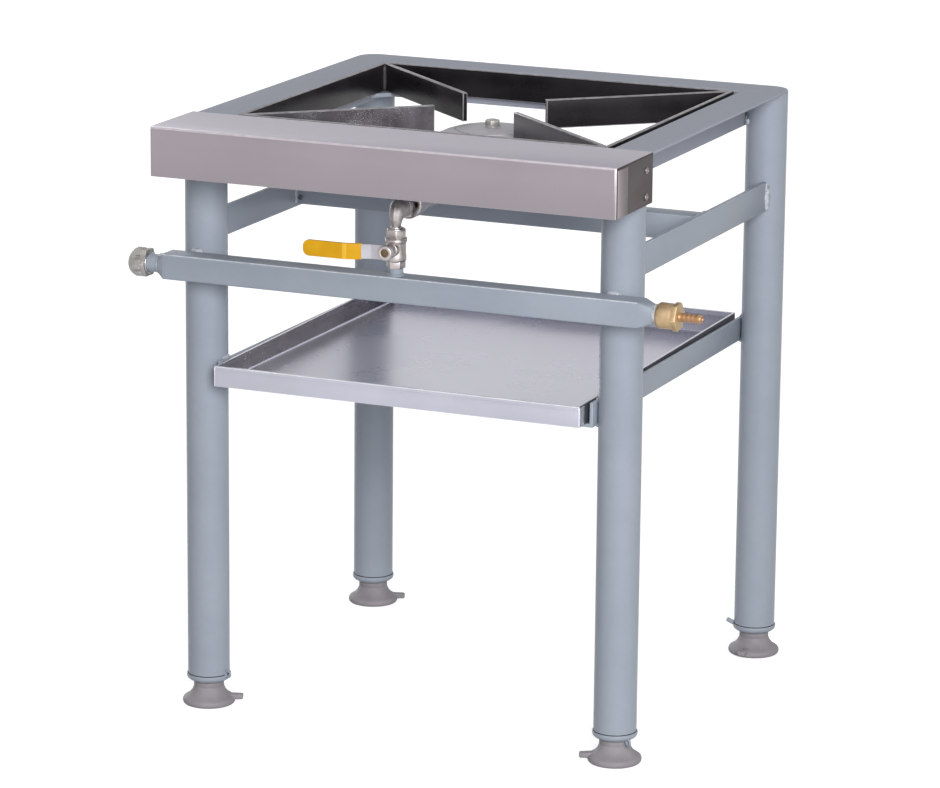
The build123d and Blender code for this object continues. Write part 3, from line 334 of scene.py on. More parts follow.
def makeFinish(name):
    look = dict(usual, **finishes[name])
    material, tree, shader, place = newMaterial(name)
    tone = useGroup(tree, toneGroup, place, Light=look["light"], Dark=look["dark"], Scale=look["blotch"],
        Grain=look["grain"])
    marks = useGroup(tree, smudgeGroup, place, Scale=look["blotch"], Amount=look["marks"])["Mask"]
    worn = mathNode(tree, "ADD", tone["Mask"], marks)
    if "stretch" in look:  # brushed one way
        along = addNode(tree, "Mapping", Vector=place, Scale=look["stretch"]).outputs["Vector"]
        lines = useGroup(tree, brushGroup, along)["Mask"]
        worn = mathNode(tree, "ADD", worn, mathNode(tree, "SUBTRACT", lines, 0.5))
    low, high = look["rough"]
    rough = mapRange(tree, worn, To_Min=low, To_Max=high)
    skin = useGroup(tree, skinGroup, place, Cells=look["cells"])["Height"]
    bump = addNode(tree, "Bump", Height=skin, Distance=look["bump"] * mm, Strength=1.0)
    colour = tone["Colour"]
    if "smear" in look:  # wiped patches show in the tone too
        colour = mixColour(tree, marks, colour, look["smear"])
    # specks, used as painted glints
    if "speck" in look:
        scale, amount, tint = look["speck"]
        specks = useGroup(tree, speckGroup, place, Scale=scale, Amount=amount)["Mask"]
        colour = mixColour(tree, specks, colour, tint)
    if "sweep" in look:  # painted shade: the tone runs over to a darker one along Y
        start, end, tint = look["sweep"]
        along = addNode(tree, "SeparateXYZ", Vector=place).outputs["Y"]
        colour = mixColour(tree, mapRange(tree, along, From_Min=start, From_Max=end), colour, tint)
    # the edge colour: wear on some finishes, a painted highlight on others
    if "worn" in look:
        edge = addNode(tree, "Attribute", {"attribute_name": "edgeWearAndHighlight"}).outputs["Fac"]
        colour = useGroup(tree, wearGroup, place, Edge=edge, Break=look["broken"], Colour=colour,
            Worn=look["worn"])["Colour"]
    feedAll(tree, shader, Base_Color=colour, Roughness=rough, Normal=bump.outputs["Normal"], Metallic=look["metal"],
        Specular_IOR_Level=look["shine"])
    return material


finish = {name: makeFinish(name) for name in finishes}
finishOfSlot = dict(frame_paint="framePaint", foot_rubber="cupRubber", zinc_steel="zincBright",
    trivet_black="trivetBlack", stainless="stainless", galvanised="galvanised", brass="brass", white_tape="whiteTape",
    nickel="nickel", yellow_vinyl="yellowVinyl", cast_grey="castGrey")
print("finishes made:", len(finish))


# stage
white = (1.0, 1.0, 1.0)


def seenDirectly(tree):  # 1 for rays that show the background itself, 0 for the light it gives
    path = addNode(tree, "LightPath").outputs
    seen = mathNode(tree, "MAXIMUM", path["Is Camera Ray"], path["Is Glossy Ray"])
    return mathNode(tree, "MAXIMUM", seen, path["Is Transmission Ray"])


def makeFloor():
    bm = bmesh.new()
    bmesh.ops.create_grid(bm, x_segments=1, y_segments=1, size=studio["floorSize"] / 2)
    floor = addObject("studioFloor", toMesh("studioFloor", bm))
    paper, tree, shader, place = newMaterial("studioPaper")
    light = studio["floorColour"]
    dark = [studio["floorShade"] * value for value in light]
    tone = useGroup(tree, toneGroup, place, Light=light, Dark=dark, Scale=studio["floorBlotch"])
    glow = mathNode(tree, "MULTIPLY", seenDirectly(tree), studio["floorGlow"])
    feedAll(tree, shader, Base_Color=tone["Colour"], Roughness=studio["floorRough"], Emission_Color=white,
        Emission_Strength=glow)
    floor.data.materials.append(paper)


def makeWorld():
    world = bpy.data.worlds.new("whiteStudio")
    bpy.context.scene.world = world
    world.use_nodes = True
    tree = world.node_tree
    level = mapRange(tree, seenDirectly(tree), To_Min=studio["worldFill"], To_Max=1.0)
    feedAll(tree, tree.nodes["Background"], Color=white, Strength=level)


bpy.context.scene.view_settings.view_transform = "Standard"
placeCamera()
lightStudio()
makeFloor()
makeWorld()
print("studio ready")


# piece helpers
def inMetres(**sizes):  # a table of sizes given in millimetres
    return {key: size * mm for key, size in sizes.items()}


mergeGap = dict(spun=0.001 * mm, node=0.005 * mm, mitre=0.02 * mm)
flatAngle = math.radians(0.6)  # faces that meet flatter than this become one
sharpAngle = 30  # edges sharper than this are softened


def wearAndHighlightLayer(bm):  # tells a finish which faces are rubbed and which carry a painted highlight
    return bm.faces.layers.float.get("edgeWearAndHighlight") or bm.faces.layers.float.new("edgeWearAndHighlight")


def sharpEdges(bm, low, high=360.0):  # edges whose two faces meet between these angles
    return [edge for edge in bm.edges if len(edge.link_faces) == 2
        and math.radians(low) < edge.calc_face_angle() < math.radians(high)]


def bevelEdges(bm, edges, width, segments, clamp=True):
    return bmesh.ops.bevel(bm, geom=edges, offset=width, segments=segments, profile=0.5, affect="EDGES", material=-1,
        clamp_overlap=clamp)["faces"]


def softenEdges(bm, width, segments=2):
    edgeWearAndHighlight = wearAndHighlightLayer(bm)
    for face in bevelEdges(bm, sharpEdges(bm, sharpAngle), width, segments):
        face[edgeWearAndHighlight] = 1.0


def finishPiece(name, bm, body, look, nodes=(), smooth=38):
    mesh = toMesh(name, bm)
    mesh.shade_smooth()
    mesh.set_sharp_from_angle(angle=math.radians(smooth))
    mesh.materials.append(finish[look])
    piece = addObject(name, mesh)
    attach(piece, body)
    if nodes:
        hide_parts(*nodes)
    return piece


def dressNode(name, bm, look, node, smooth=38):  # a piece in one node's place and on its body
    return finishPiece(name, bm, bodyOf[node], look, (node,), smooth)


def addFinishes(piece, *looks):
    for look in looks:
        piece.data.materials.append(finish[look])


def cleanMesh(bm, gap):
    bmesh.ops.remove_doubles(bm, verts=bm.verts, dist=gap)
    bmesh.ops.dissolve_limit(bm, angle_limit=flatAngle, verts=bm.verts, edges=bm.edges)


def copyNode(node):
    bm = bmesh.new()
    bm.from_mesh(frame["nodes"][node].data)
    cleanMesh(bm, mergeGap["node"])
    return bm


def pieceName(node):
    return node.title().replace("_", "")


def softCopy(name, node, width, segments=2, look=None):
    bm = copyNode(node)
    softenEdges(bm, width, segments)
    dressNode(name, bm, look or finishOfSlot[slotOf[node]], node)


def softCopies(edges):  # nodes with the width of their softened edges in millimetres
    for node, width in edges.items():
        softCopy(pieceName(node), node, width * mm)


def spinRound(bm, steps):
    bmesh.ops.spin(bm, geom=bm.verts[:] + bm.edges[:], cent=(0, 0, 0), axis=(0, 0, 1), angle=2 * math.pi, steps=steps,
        use_merge=True, use_duplicate=False)
    bmesh.ops.remove_doubles(bm, verts=bm.verts, dist=mergeGap["spun"])
    bmesh.ops.recalc_face_normals(bm, faces=bm.faces)
    return bm


def turned(points, steps):  # (radius, height) points turned round the vertical; a line from the axis stays open
    bm = bmesh.new()
    verts = [bm.verts.new((radius, 0.0, height)) for radius, height in points]
    for pair in zip(verts, verts[1:] + (verts[:1] if points[0][0] else [])):
        bm.edges.new(pair)
    return spinRound(bm, steps)


def lathe(points, steps):  # the same with points in millimetres
    return turned([(radius * mm, height * mm) for radius, height in points], steps)


def move(bm, place=(0, 0, 0), turn=None):
    matrix = Matrix.Translation(place) @ (turn or Matrix())
    bmesh.ops.transform(bm, matrix=matrix, verts=bm.verts)
    return bm


alongX, facingFront = rotation(90, "Y"), rotation(90, "X")  # lay a turned shape along +X or -Y


def join(bm, extra):
    step = toMesh("joinStep", extra)
    bm.from_mesh(step)
    bpy.data.meshes.remove(step)


def middleOf(node):
    return [(bottom + top) / 2 for bottom, top in zip(*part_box(node))]


def footOf(node):  # the point on the floor under a node's middle
    return Vector((*middleOf(node)[:2], 0))


def plainBox(low, high, edge=0.0, segments=2):
    bm = bmesh.new()
    bmesh.ops.create_cube(bm, size=1.0)
    bmesh.ops.scale(bm, vec=[top - bottom for bottom, top in zip(low, high)], verts=bm.verts)
    if edge:
        softenEdges(bm, edge, segments)
    return move(bm, [(bottom + top) / 2 for bottom, top in zip(low, high)])


def sideBox(side, across, along, rise, edge=0.0, segments=2):  # a box from ranges, left or right of the middle
    left, right = sorted(side * x for x in across)
    return plainBox((left, along[0], rise[0]), (right, along[1], rise[1]), edge, segments)


def onlyVerts(geom):
    return [item for item in geom if isinstance(item, bmesh.types.BMVert)]


def hexNut(flats, low, high, edge, turn):  # sizes in millimetres, turn in degrees
    flats, low, high, edge = (size * mm for size in (flats, low, high, edge))
    bm = bmesh.new()
    place = Matrix.Translation((0, 0, low)) @ rotation(turn, "Z")
    radius = flats / 2 / math.cos(math.pi / 6)
    start = bmesh.ops.create_circle(bm, cap_ends=True, segments=6, radius=radius, matrix=place)
    grown = bmesh.ops.extrude_face_region(bm, geom=start["verts"][0].link_faces[:])
    bmesh.ops.translate(bm, vec=(0, 0, high - low), verts=onlyVerts(grown["geom"]))
    bmesh.ops.recalc_face_normals(bm, faces=bm.faces)
    softenEdges(bm, edge)
    return bm


def ringTube(radius, thick, steps, sides):
    bm = bmesh.new()
    place = Matrix.Translation((radius, 0, 0)) @ rotation(90, "X")
    bmesh.ops.create_circle(bm, segments=sides, radius=thick, matrix=place)
    return spinRound(bm, steps)


def ringEdges(made):
    return list(dict.fromkeys(edge for vert in made["verts"] for edge in vert.link_edges))


def growRing(bm, edges, step, factor):  # extrudes a ring of edges, moves its new end by a matrix and scales it
    made = bmesh.ops.extrude_edge_only(bm, edges=edges)["geom"]
    verts = onlyVerts(made)
    fresh = set(verts)
    bmesh.ops.transform(bm, matrix=step, verts=verts)
    middle = sum((vert.co for vert in verts), Vector()) / len(verts)
    bmesh.ops.scale(bm, vec=(factor, factor, factor), space=Matrix.Translation(-middle), verts=verts)
    return [item for item in made if isinstance(item, bmesh.types.BMEdge) and fresh.issuperset(item.verts)]


def closeEnd(bm, edges):
    bmesh.ops.holes_fill(bm, edges=edges, sides=0)
    bmesh.ops.recalc_face_normals(bm, faces=bm.faces)


# shape of a weld bead; sizes and pitch are shares of its width
weldBead = dict(sides=10, pitch=0.55, fewest=4, start=0.35, shoulder=0.42, body=0.5, tip=0.30, ripple=0.09,
    scatter=0.05)
ringBead = dict(sides=10, steps=60, ripple=0.16, scatter=0.1)


def weldRun(bm, start, end, width, seed):  # a rippled bead along one straight run
    dice = random.Random(seed)
    start, end = Vector(start), Vector(end)
    along = end - start
    count = max(weldBead["fewest"], round(along.length / (weldBead["pitch"] * width)))
    facing = Matrix.Translation(start) @ aimed(along)
    size = weldBead["start"]
    edges = ringEdges(bmesh.ops.create_circle(bm, cap_ends=True, segments=weldBead["sides"], radius=size * width,
        matrix=facing))
    for step in range(1, count + 1):
        wanted = weldBead["tip"]
        if step < count:
            wanted = weldBead["shoulder" if step == 1 else "body"] + weldBead["ripple"] * (step % 2)
            wanted += dice.uniform(-weldBead["scatter"], weldBead["scatter"])
        edges = growRing(bm, edges, Matrix.Translation(along / count), wanted / size)
        size = wanted
    closeEnd(bm, edges)


def weldRing(radius, thick, seed):  # a rippled bead round a pipe
    steps = ringBead["steps"]
    bm = ringTube(radius, thick, steps, ringBead["sides"])
    dice = random.Random(seed)
    waves = [1.0 + ringBead["ripple"] * (step % 2) + dice.uniform(-ringBead["scatter"], ringBead["scatter"])
        for step in range(steps + 1)]
    for vert in bm.verts:
        turn = math.atan2(vert.co.y, vert.co.x)
        core = Vector((radius * math.cos(turn), radius * math.sin(turn), 0))
        vert.co = core + (vert.co - core) * waves[round((turn + math.pi) / (2 * math.pi) * steps)]
    return bm


# legs, caps and cup feet
leg = dict(radius=25 * mm, wall=2 * mm, endRound=0.6 * mm, steps=112)
legCap = dict(steps=96, profile=[(4.05, 28.5), (18.8, 28.5), (20.2, 28.8), (23.6, 30.6), (25.4, 32.2), (26.2, 33.6),
    (26.4, 34.8), (26.4, 36.6), (26.2, 37.3), (25.8, 37.7), (25.3, 37.4), (25.2, 36.8), (25.2, 33.7), (19.5, 33.7),
    (19.5, 31.5), (4.05, 31.5)])
cup = dict(steps=96, profile=[(4, 10.2), (4, 28.2), (17.2, 28.2), (17.8, 27.9), (18, 27.3), (18, 22.6),
    (17.7, 22.2), (17.7, 21.6), (18.1, 21.1), (18.6, 19.4), (19.6, 17), (21.3, 14.3), (23.7, 11.7), (26.4, 9.6),
    (28.8, 8.2), (30.4, 7), (31.2, 5.6), (31.5, 4), (31.3, 2.4), (30.6, 0.9), (29.5, 0), (22, 0), (18, 2.2),
    (12, 4.5), (6, 5.7), (0, 6), (0, 10.2)], tabReach=41 * mm, tabStart=22 * mm, tabWidth=10 * mm, tabLow=3.5 * mm,
    tabThick=7.5 * mm, tabRound=1.8 * mm, tipThin=0.82, tipNarrow=0.94, tabTurn=dict(front_left=23, front_right=203,
    back_left=23, back_right=266))


def makeLeg(corner):
    node = "leg_" + corner
    low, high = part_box(node)
    radius, inner, lip = leg["radius"], leg["radius"] - leg["wall"], leg["endRound"]
    bm = turned([(inner, low[2]), (radius - lip, low[2]), (radius, low[2] + lip), (radius, high[2] - lip),
        (radius - lip, high[2]), (inner, high[2])], leg["steps"])
    dressNode("legTube_" + corner, move(bm, footOf(node)), "framePaint", node)


def makeCap(corner):
    node = "leg_cap_" + corner
    bm = move(lathe(legCap["profile"], legCap["steps"]), footOf(node))
    dressNode("legCap_" + corner, bm, "framePaint", node)


def makeCup(corner):
    bm = lathe(cup["profile"], cup["steps"])
    tab = bmesh.new()
    bmesh.ops.create_cube(tab, size=1.0)
    size = (cup["tabReach"] - cup["tabStart"], cup["tabWidth"], cup["tabThick"])
    bmesh.ops.scale(tab, vec=size, verts=tab.verts)
    for vert in tab.verts:  # the tab thins a little towards its tip
        if vert.co.x > 0:
            vert.co.z *= cup["tipThin"]
            vert.co.y *= cup["tipNarrow"]
    softenEdges(tab, cup["tabRound"], 3)
    reach = (cup["tabReach"] + cup["tabStart"]) / 2
    move(tab, (reach, 0, cup["tabLow"] + cup["tabThick"] / 2))
    move(tab, turn=rotation(cup["tabTurn"][corner], "Z"))
    join(bm, tab)
    dressNode("cupFoot_" + corner, move(bm, footOf("leg_cap_" + corner)), "cupRubber", "foot_" + corner, smooth=50)


for corner in corners:
    makeLeg(corner)
    makeCap(corner)
    makeCup(corner)
print("legs and feet made")


# folded frame, bars and runners
topFrame = dict(inMetres(edge=0.5, openX=237, openY=210, mitreSlack=4, seamWidth=5, seamRise=0.12, seamInset=3,
    seamSink=1, seamEdge=0.1), rails=("top_rail_front", "top_rail_back", "top_rail_left", "top_rail_right"),
    upright=0.05, diagonal=0.02)
barEdges = dict(side_bar_left=0.8, side_bar_right=0.8, burner_crossbar=0.8, tray_runner_left=0.8,
    tray_runner_right=0.8, trivet_lugs=0.5)
manifold = dict(edge=1.8 * mm, edgeHighlight=0.8, flat=0.1, rise=(0.35, 0.95), front=-0.3)


def isMitre(face):  # a mitre face stands on the 45 degree line through its corner
    middle = face.calc_center_median()
    facing = face.normal
    diagonal = abs(abs(facing.x) - abs(facing.y)) < topFrame["diagonal"]
    off = abs(middle.x) - topFrame["openX"] - abs(middle.y) + topFrame["openY"]
    return diagonal and abs(facing.z) < topFrame["upright"] and abs(off) < topFrame["mitreSlack"]


def makeTopFrame():
    bm = bmesh.new()
    for rail in topFrame["rails"]:
        bm.from_mesh(frame["nodes"][rail].data)
    bmesh.ops.delete(bm, geom=[face for face in bm.faces if isMitre(face)], context="FACES")
    cleanMesh(bm, mergeGap["mitre"])
    softenEdges(bm, topFrame["edge"])
    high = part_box("top_rail_right")[1]
    across = (topFrame["openX"] + topFrame["seamInset"], high[0] - topFrame["seamInset"])
    along = (topFrame["openY"], topFrame["openY"] + topFrame["seamWidth"])
    rise = (high[2] - topFrame["seamSink"], high[2] + topFrame["seamRise"])
    for side in (-1, 1):  # ground-off welds where the back rail meets the side rails
        join(bm, sideBox(side, across, along, rise, topFrame["seamEdge"], 1))
    finishPiece("topFrame", bm, "frame", "railPaintSheen", topFrame["rails"])


def makeManifold():
    bm = copyNode("gas_manifold")
    softenEdges(bm, manifold["edge"], 4)
    edgeWearAndHighlight = wearAndHighlightLayer(bm)
    least, most = manifold["rise"]
    for face in bm.faces:  # a painted highlight along the upper front edge
        facing = face.normal
        paintedBright = abs(facing.x) < manifold["flat"] and least < facing.z < most and facing.y < manifold["front"]
        face[edgeWearAndHighlight] = manifold["edgeHighlight"] if paintedBright else 0.0
    dressNode("gasManifold", bm, "manifoldPaint", "gas_manifold")


makeTopFrame()
softCopies(barEdges)
makeManifold()
print("frame made")


# weld beads, each along the joint it holds
welds = dict(inMetres(bead=6.5, barBead=8.5, legX=262, legY=235, legRadius=25, skirtX=243.5, lift=0.6, overHalf=8,
    underHalf=10, runnerHalf=7, barInset=1.5, barSink=0.8, crossDrop=4), skirtBead=(1 * mm, 9 * mm),
    skirtGap=(12 * mm, 20 * mm), valveRing=(0.4 * mm, 1.6 * mm, 0.2 * mm), neckRing=(0.3 * mm, 1.2 * mm), thin=0.8,
    wide=1.2)
weldSeed = dict(over=11, under=21, bar=31, runner=51, crossSide=61, crossTop=63, skirt=71, valve=73, gap=75, neck=79,
    trivet=83)
# a scorch mark has its start, end, share of a bead's width and seed
scorch = dict(across=3 * mm, out=0.4 * mm, upper=((0, -10 * mm), (6 * mm, -5 * mm), 1.1, 67),
    lower=((2 * mm, 6 * mm), (5 * mm, 11 * mm), 0.8, 69))


def legFace(x):  # how far a leg's surface is from its middle line at this x offset
    return math.sqrt(welds["legRadius"] ** 2 - x ** 2)


def manifoldWelds(bm):  # against the front legs, over and under
    low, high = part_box("gas_manifold")
    for side in (-1, 1):
        x, y = side * welds["legX"], high[1] + welds["lift"]
        for z, place in ((high[2] + welds["lift"], "over"), (low[2], "under")):
            half = welds[place + "Half"]
            weldRun(bm, (x - half, y, z), (x + half, y, z), welds["bead"], weldSeed[place] + side)


def barWelds(bm, name, side):  # side bar and runner against the legs
    low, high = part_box("side_bar_" + name)
    bottom, top = low[2] + welds["barInset"], high[2] - welds["barInset"]
    for face in (low[0], high[0]):
        reach = welds["legY"] - legFace(face - side * welds["legX"]) - welds["barSink"]
        for end in (-1, 1):
            seed = weldSeed["bar"] + side + 5 * end + (7 if face > low[0] else 0)
            weldRun(bm, (face, end * reach, bottom), (face, end * reach, top), welds["barBead"], seed)
    low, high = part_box("tray_runner_" + name)
    face, half = high[0] if side > 0 else low[0], welds["runnerHalf"]
    for end in (-1, 1):
        y = end * welds["legY"]
        for z in (low[2], high[2]):
            weldRun(bm, (face, y - half, z), (face, y + half, z), welds["bead"], weldSeed["runner"] + end + 3 * side)


def crossbarWelds(bm, dark):  # against the side bars, with scorched ends
    low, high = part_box("burner_crossbar")
    bead, thin = welds["bead"], welds["thin"] * welds["bead"]
    for x in (low[0], high[0]):
        weldRun(bm, (x, low[1], low[2] + mm), (x, low[1], high[2] - welds["crossDrop"]), thin, weldSeed["crossSide"])
        weldRun(bm, (x, low[1] + mm, high[2]), (x, high[1] - mm, high[2]), thin, weldSeed["crossTop"])
    x, y = low[0] + scorch["across"], low[1] - scorch["out"]
    for z, place in ((high[2], "upper"), (low[2], "lower")):
        start, end, width, seed = scorch[place]
        weldRun(dark, (x + start[0], y, z + start[1]), (x + end[0], y, z + end[1]), width * bead, seed)


def skirtWelds(bm, dark):  # skirt ends against the legs, with a dark run over each bead painted as the shadow in the open gap
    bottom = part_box("top_rail_right")[0][2]
    reach = welds["legY"] - legFace(welds["skirtX"] - welds["legX"])
    for side in (-1, 1):
        for end in (-1, 1):
            x, y = side * welds["skirtX"], end * reach
            start, stop = welds["skirtBead"]
            seed = weldSeed["skirt"] + side + 3 * end
            weldRun(bm, (x, y, bottom + start), (x, y, bottom + stop), welds["wide"] * welds["bead"], seed)
            start, stop = welds["skirtGap"]
            thin = welds["thin"] * welds["bead"]
            weldRun(dark, (x, y, bottom + start), (x, y, bottom + stop), thin, weldSeed["gap"])


def pipeWelds(bm):
    low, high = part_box("valve_nipple")
    out, thick, lift = welds["valveRing"]
    ring = weldRing((high[0] - low[0]) / 2 + out, thick, weldSeed["valve"])
    move(ring, footOf("valve_nipple") + Vector((0, 0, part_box("gas_manifold")[1][2] + lift)))
    for face in ring.faces:  # this one is brushed over with paint
        face.material_index = 1
    join(bm, ring)
    low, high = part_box("gas_manifold")
    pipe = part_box("manifold_nipples")
    out, thick = welds["neckRing"]
    for x in (low[0], high[0]):  # necked ends against the nipples
        ring = weldRing((pipe[1][2] - pipe[0][2]) / 2 + out, thick, weldSeed["neck"])
        join(bm, move(ring, (x, *middleOf("gas_manifold")[1:]), alongX))


def makeWelds():
    bm, dark = bmesh.new(), bmesh.new()
    manifoldWelds(bm)
    barWelds(bm, "left", -1)
    barWelds(bm, "right", 1)
    crossbarWelds(bm, dark)
    skirtWelds(bm, dark)
    pipeWelds(bm)
    addFinishes(finishPiece("weldBeads", bm, "frame", "weldGlintPaint", smooth=70), "framePaint")
    # scorch at the crossbar ends, and painted shadow in the skirt gaps
    finishPiece("weldScorchAndGapShadow", dark, "frame", "weldDark", smooth=70)


makeWelds()
print("welds made")


# trivet
trivet = dict(edges=dict(trivet_ring_sides=0.9, trivet_ring_ends=0.9, trivet_spokes=1.1), edgeHighlight=0.9, bead=6 * mm,
    beadInset=2 * mm, beadPlaces=((6 * mm, 5 * mm), (0.0, 11 * mm)), sideArea=0.002)


def makeTrivet():
    for node, width in trivet["edges"].items():
        bm = copyNode(node)
        softenEdges(bm, width * mm, 3)
        edgeWearAndHighlight = wearAndHighlightLayer(bm)
        for face in bm.faces:
            middle = face.calc_center_median()
            front = node == "trivet_spokes" and middle.y < 0 and face.normal.y < -0.5
            if face.normal.z > 0.9:  # a painted highlight on the upper faces
                face[edgeWearAndHighlight] = trivet["edgeHighlight"]
            elif front and face.calc_area() > trivet["sideArea"]:
                face.material_index = 1 if middle.x < 0 else 2  # painted reflections on the front spokes' sides: pale glints and a darker corner end on the left one, a paler grey on the right one
        addFinishes(dressNode(pieceName(node), bm, "trivetBlack", node), "spokeGlints", "trivetGrey")
    low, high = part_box("trivet_ring_ends")
    bottom, top = low[2] + trivet["beadInset"], high[2] - trivet["beadInset"]
    bm = bmesh.new()
    for x, inward in ((low[0], 1), (high[0], -1)):  # beads up the ring's inner corners, beside each spoke
        for y, ahead in ((low[1], 1), (high[1], -1)):
            for across, along in trivet["beadPlaces"]:
                place = (x + inward * across, y + ahead * along)
                seed = weldSeed["trivet"] + inward + 3 * ahead
                weldRun(bm, (*place, bottom), (*place, top), trivet["bead"], seed)
    finishPiece("trivetWelds", bm, "trivet", "trivetGrey", smooth=70)


makeTrivet()
print("trivet made")


# fascia, its end seams and rivets
fascia = dict(inMetres(edge=0.25, tabDepth=33, tabThick=0.6, tabSink=0.3, tabInset=3.4, tabLift=0.4, seam=1,
    seamWide=0.9, seamDrop=1.2, seamSink=1.1, seamOut=0.12, seamStart=4, seamEnd=0.5), endFacing=0.9, bendHighlight=0.8,
    sideHighlight=0.12)
rivet = dict(profile=[(0, 0), (4, 0), (4, 0.3), (3.7, 0.8), (3, 1.25), (2.1, 1.5), (1.5, 1.55), (1.3, 1.2),
    (1.1, 0.7), (0, 0.7)], steps=32, drops=(17 * mm, 47 * mm))


def makeFascia():
    bm = copyNode("fascia")
    softenEdges(bm, fascia["edge"], 1)
    edgeWearAndHighlight = wearAndHighlightLayer(bm)
    for face in bm.faces:  # the end returns are brushed across; their darker finish is painted shade and a painted dark reflection
        facing = face.normal
        if abs(facing.x) > fascia["endFacing"]:
            face.material_index = 1
        # painted highlights along the upper front bend and the side bends, set through the edge mask
        elif facing.y < -0.3 and facing.z > 0.3:
            face[edgeWearAndHighlight] = fascia["bendHighlight"]
        # the top faces get a darker, bluer copy of the sheet finish, a painted reflection tint
        elif facing.z > 0.8:
            face.material_index = 2
        elif facing.y < -0.5 and abs(facing.x) > 0.5:
            face[edgeWearAndHighlight] = fascia["sideHighlight"]
    addFinishes(dressNode("fasciaSheet", bm, "stainless", "fascia"), "stainlessEndShade", "stainlessTop")


def makeFasciaEnds():  # a lapped tab at each end, with near-black strips round it painted as the shadow in the seams
    low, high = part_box("fascia")
    tabEnd = low[1] + fascia["tabDepth"]
    tabRise = (low[2] + fascia["tabLift"], high[2] - fascia["tabInset"])
    tabAcross = (high[0] - fascia["tabSink"], high[0] + fascia["tabThick"])
    seamAcross = (high[0] - fascia["seamSink"], high[0] + fascia["seamOut"])
    seamAlong = (low[1] + fascia["seamStart"], high[1] - fascia["seamEnd"])
    seamTop = high[2] - fascia["seamDrop"]
    tabs, seams = bmesh.new(), bmesh.new()
    for side in (-1, 1):
        join(tabs, sideBox(side, tabAcross, (low[1] + fascia["tabInset"], tabEnd), tabRise, fascia["edge"]))
        join(seams, sideBox(side, seamAcross, seamAlong, (seamTop - fascia["seam"], seamTop)))
        join(seams, sideBox(side, seamAcross, (tabEnd, tabEnd + fascia["seamWide"]), tabRise))
    # the tabs carry a painted reflection, lighter at the front and darker behind
    finishPiece("fasciaTabs", tabs, "frame", "stainlessTab")
    finishPiece("fasciaSeamShadows", seams, "frame", "gapShadow")


def makeRivets():
    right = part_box("fascia")[1][0]
    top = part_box("top_rail_right")[1][2]
    bm = bmesh.new()
    for side in (-1, 1):
        for drop in rivet["drops"]:
            head = lathe(rivet["profile"], rivet["steps"])
            join(bm, move(head, (side * right, -welds["legY"], top - drop), rotation(side * 90, "Y")))
    dressNode("rivetHeads", bm, "rivetSteel", "fascia_rivets", smooth=50)


makeFascia()
makeFasciaEnds()
makeRivets()
print("fascia made")


# drip tray
tray = dict(inMetres(edge=0.35, sheet=1.2, fold=2, foldSlack=0.02, sink=0.2, inset=0.5, hemHigh=3.2, hemThick=0.35,
    hemEdge=0.2, frontWall=24.5, rimHigh=1.2, rimOut=0.1, rimDrop=0.1, lapWide=15, lapStart=0.1, lapLift=0.6,
    lapDrop=1.5, lapOut=0.9, lapEdge=0.3), foldLong=0.3, foldAngle=57.3, wallArea=0.0015)


def paintedBright(bm):  # paints a box bright all over, as a highlight
    edgeWearAndHighlight = wearAndHighlightLayer(bm)
    for face in bm.faces:
        face[edgeWearAndHighlight] = 1.0
    return bm


def makeTray():
    bm = copyNode("drip_tray")
    low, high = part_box("drip_tray")
    floor = low[2] + tray["sheet"]
    folds = [edge for edge in sharpEdges(bm, tray["foldAngle"]) if edge.calc_length() > tray["foldLong"]
        and all(abs(vert.co.z - floor) < tray["foldSlack"] for vert in edge.verts)]
    bevelEdges(bm, folds, tray["fold"], 4, clamp=False)
    softenEdges(bm, tray["edge"])
    for face in bm.faces:  # painted shade: the outer faces of the side walls get a dark shadow finish, the inner face of the left wall a dark reflection finish
        outward = face.normal.x * face.calc_center_median().x > 0
        if abs(face.normal.x) > 0.9 and (outward or face.normal.x > 0) and face.calc_area() > tray["wallArea"]:
            face.material_index = 2 if outward else 1
    left, right = low[0] + tray["inset"], high[0] - tray["inset"]
    top, inner, outer = low[2] + tray["frontWall"], low[1] + tray["sink"], low[1] - tray["hemThick"]
    join(bm, plainBox((left, outer, top - tray["hemHigh"]), (right, inner, top - tray["sink"]),
        tray["hemEdge"]))
    # a thin strip along the top of the front, painted bright as the highlight on the rim
    join(bm, paintedBright(plainBox((left, outer - tray["rimOut"], top - tray["rimHigh"]),
        (right, inner, top - tray["rimDrop"]), tray["hemEdge"])))
    across = (high[0] - tray["sink"], high[0] + tray["lapOut"])
    along = (low[1] + tray["lapStart"], low[1] + tray["lapWide"])
    rise = (low[2] + tray["lapLift"], top - tray["lapDrop"])
    for side in (-1, 1):  # the front sheet's ends, lapped round the corners, painted bright as a reflection
        join(bm, paintedBright(sideBox(side, across, along, rise, tray["lapEdge"])))
    addFinishes(dressNode("dripTray", bm, "galvanised", "drip_tray"), "trayShade", "trayShadow")


makeTray()
print("tray made")


# pipe fittings at the manifold's ends
hose = dict(collar=[(0, 320.5), (11.9, 320.5), (13.6, 321.8), (14.8, 323.6), (14.9, 325), (14.6, 338.6),
    (14.3, 339.8), (14.3, 340.6), (0, 340.6)], tail=[(0, 346), (5.5, 346), (5.5, 346.8), (4.9, 347.6), (4.85, 350.4),
    (5.05, 351.2), (5.05, 352.6), (4.8, 353.4), (4.8, 355.6), (5.05, 356.4), (5.05, 357.8), (4.8, 358.6),
    (4.8, 360.8), (5.05, 361.6), (5.05, 363), (4.8, 363.8), (4.8, 366), (5, 366.8), (5, 370.6), (4.6, 372),
    (3.9, 372.8), (3.2, 373), (2.9, 372.6), (2.9, 368), (0, 368)], hex=(29, 340, 346.5, 0.6, 8))
fittingEdge = inMetres(cap=0.8, nipples=0.3, tape=0.15, valve=0.2)
capMouth = dict(ring=[(10.7, 0), (12.6, 0), (12.9, 0.4), (12.6, 1), (11.8, 1.3), (10.7, 1.2)], sink=0.2 * mm)


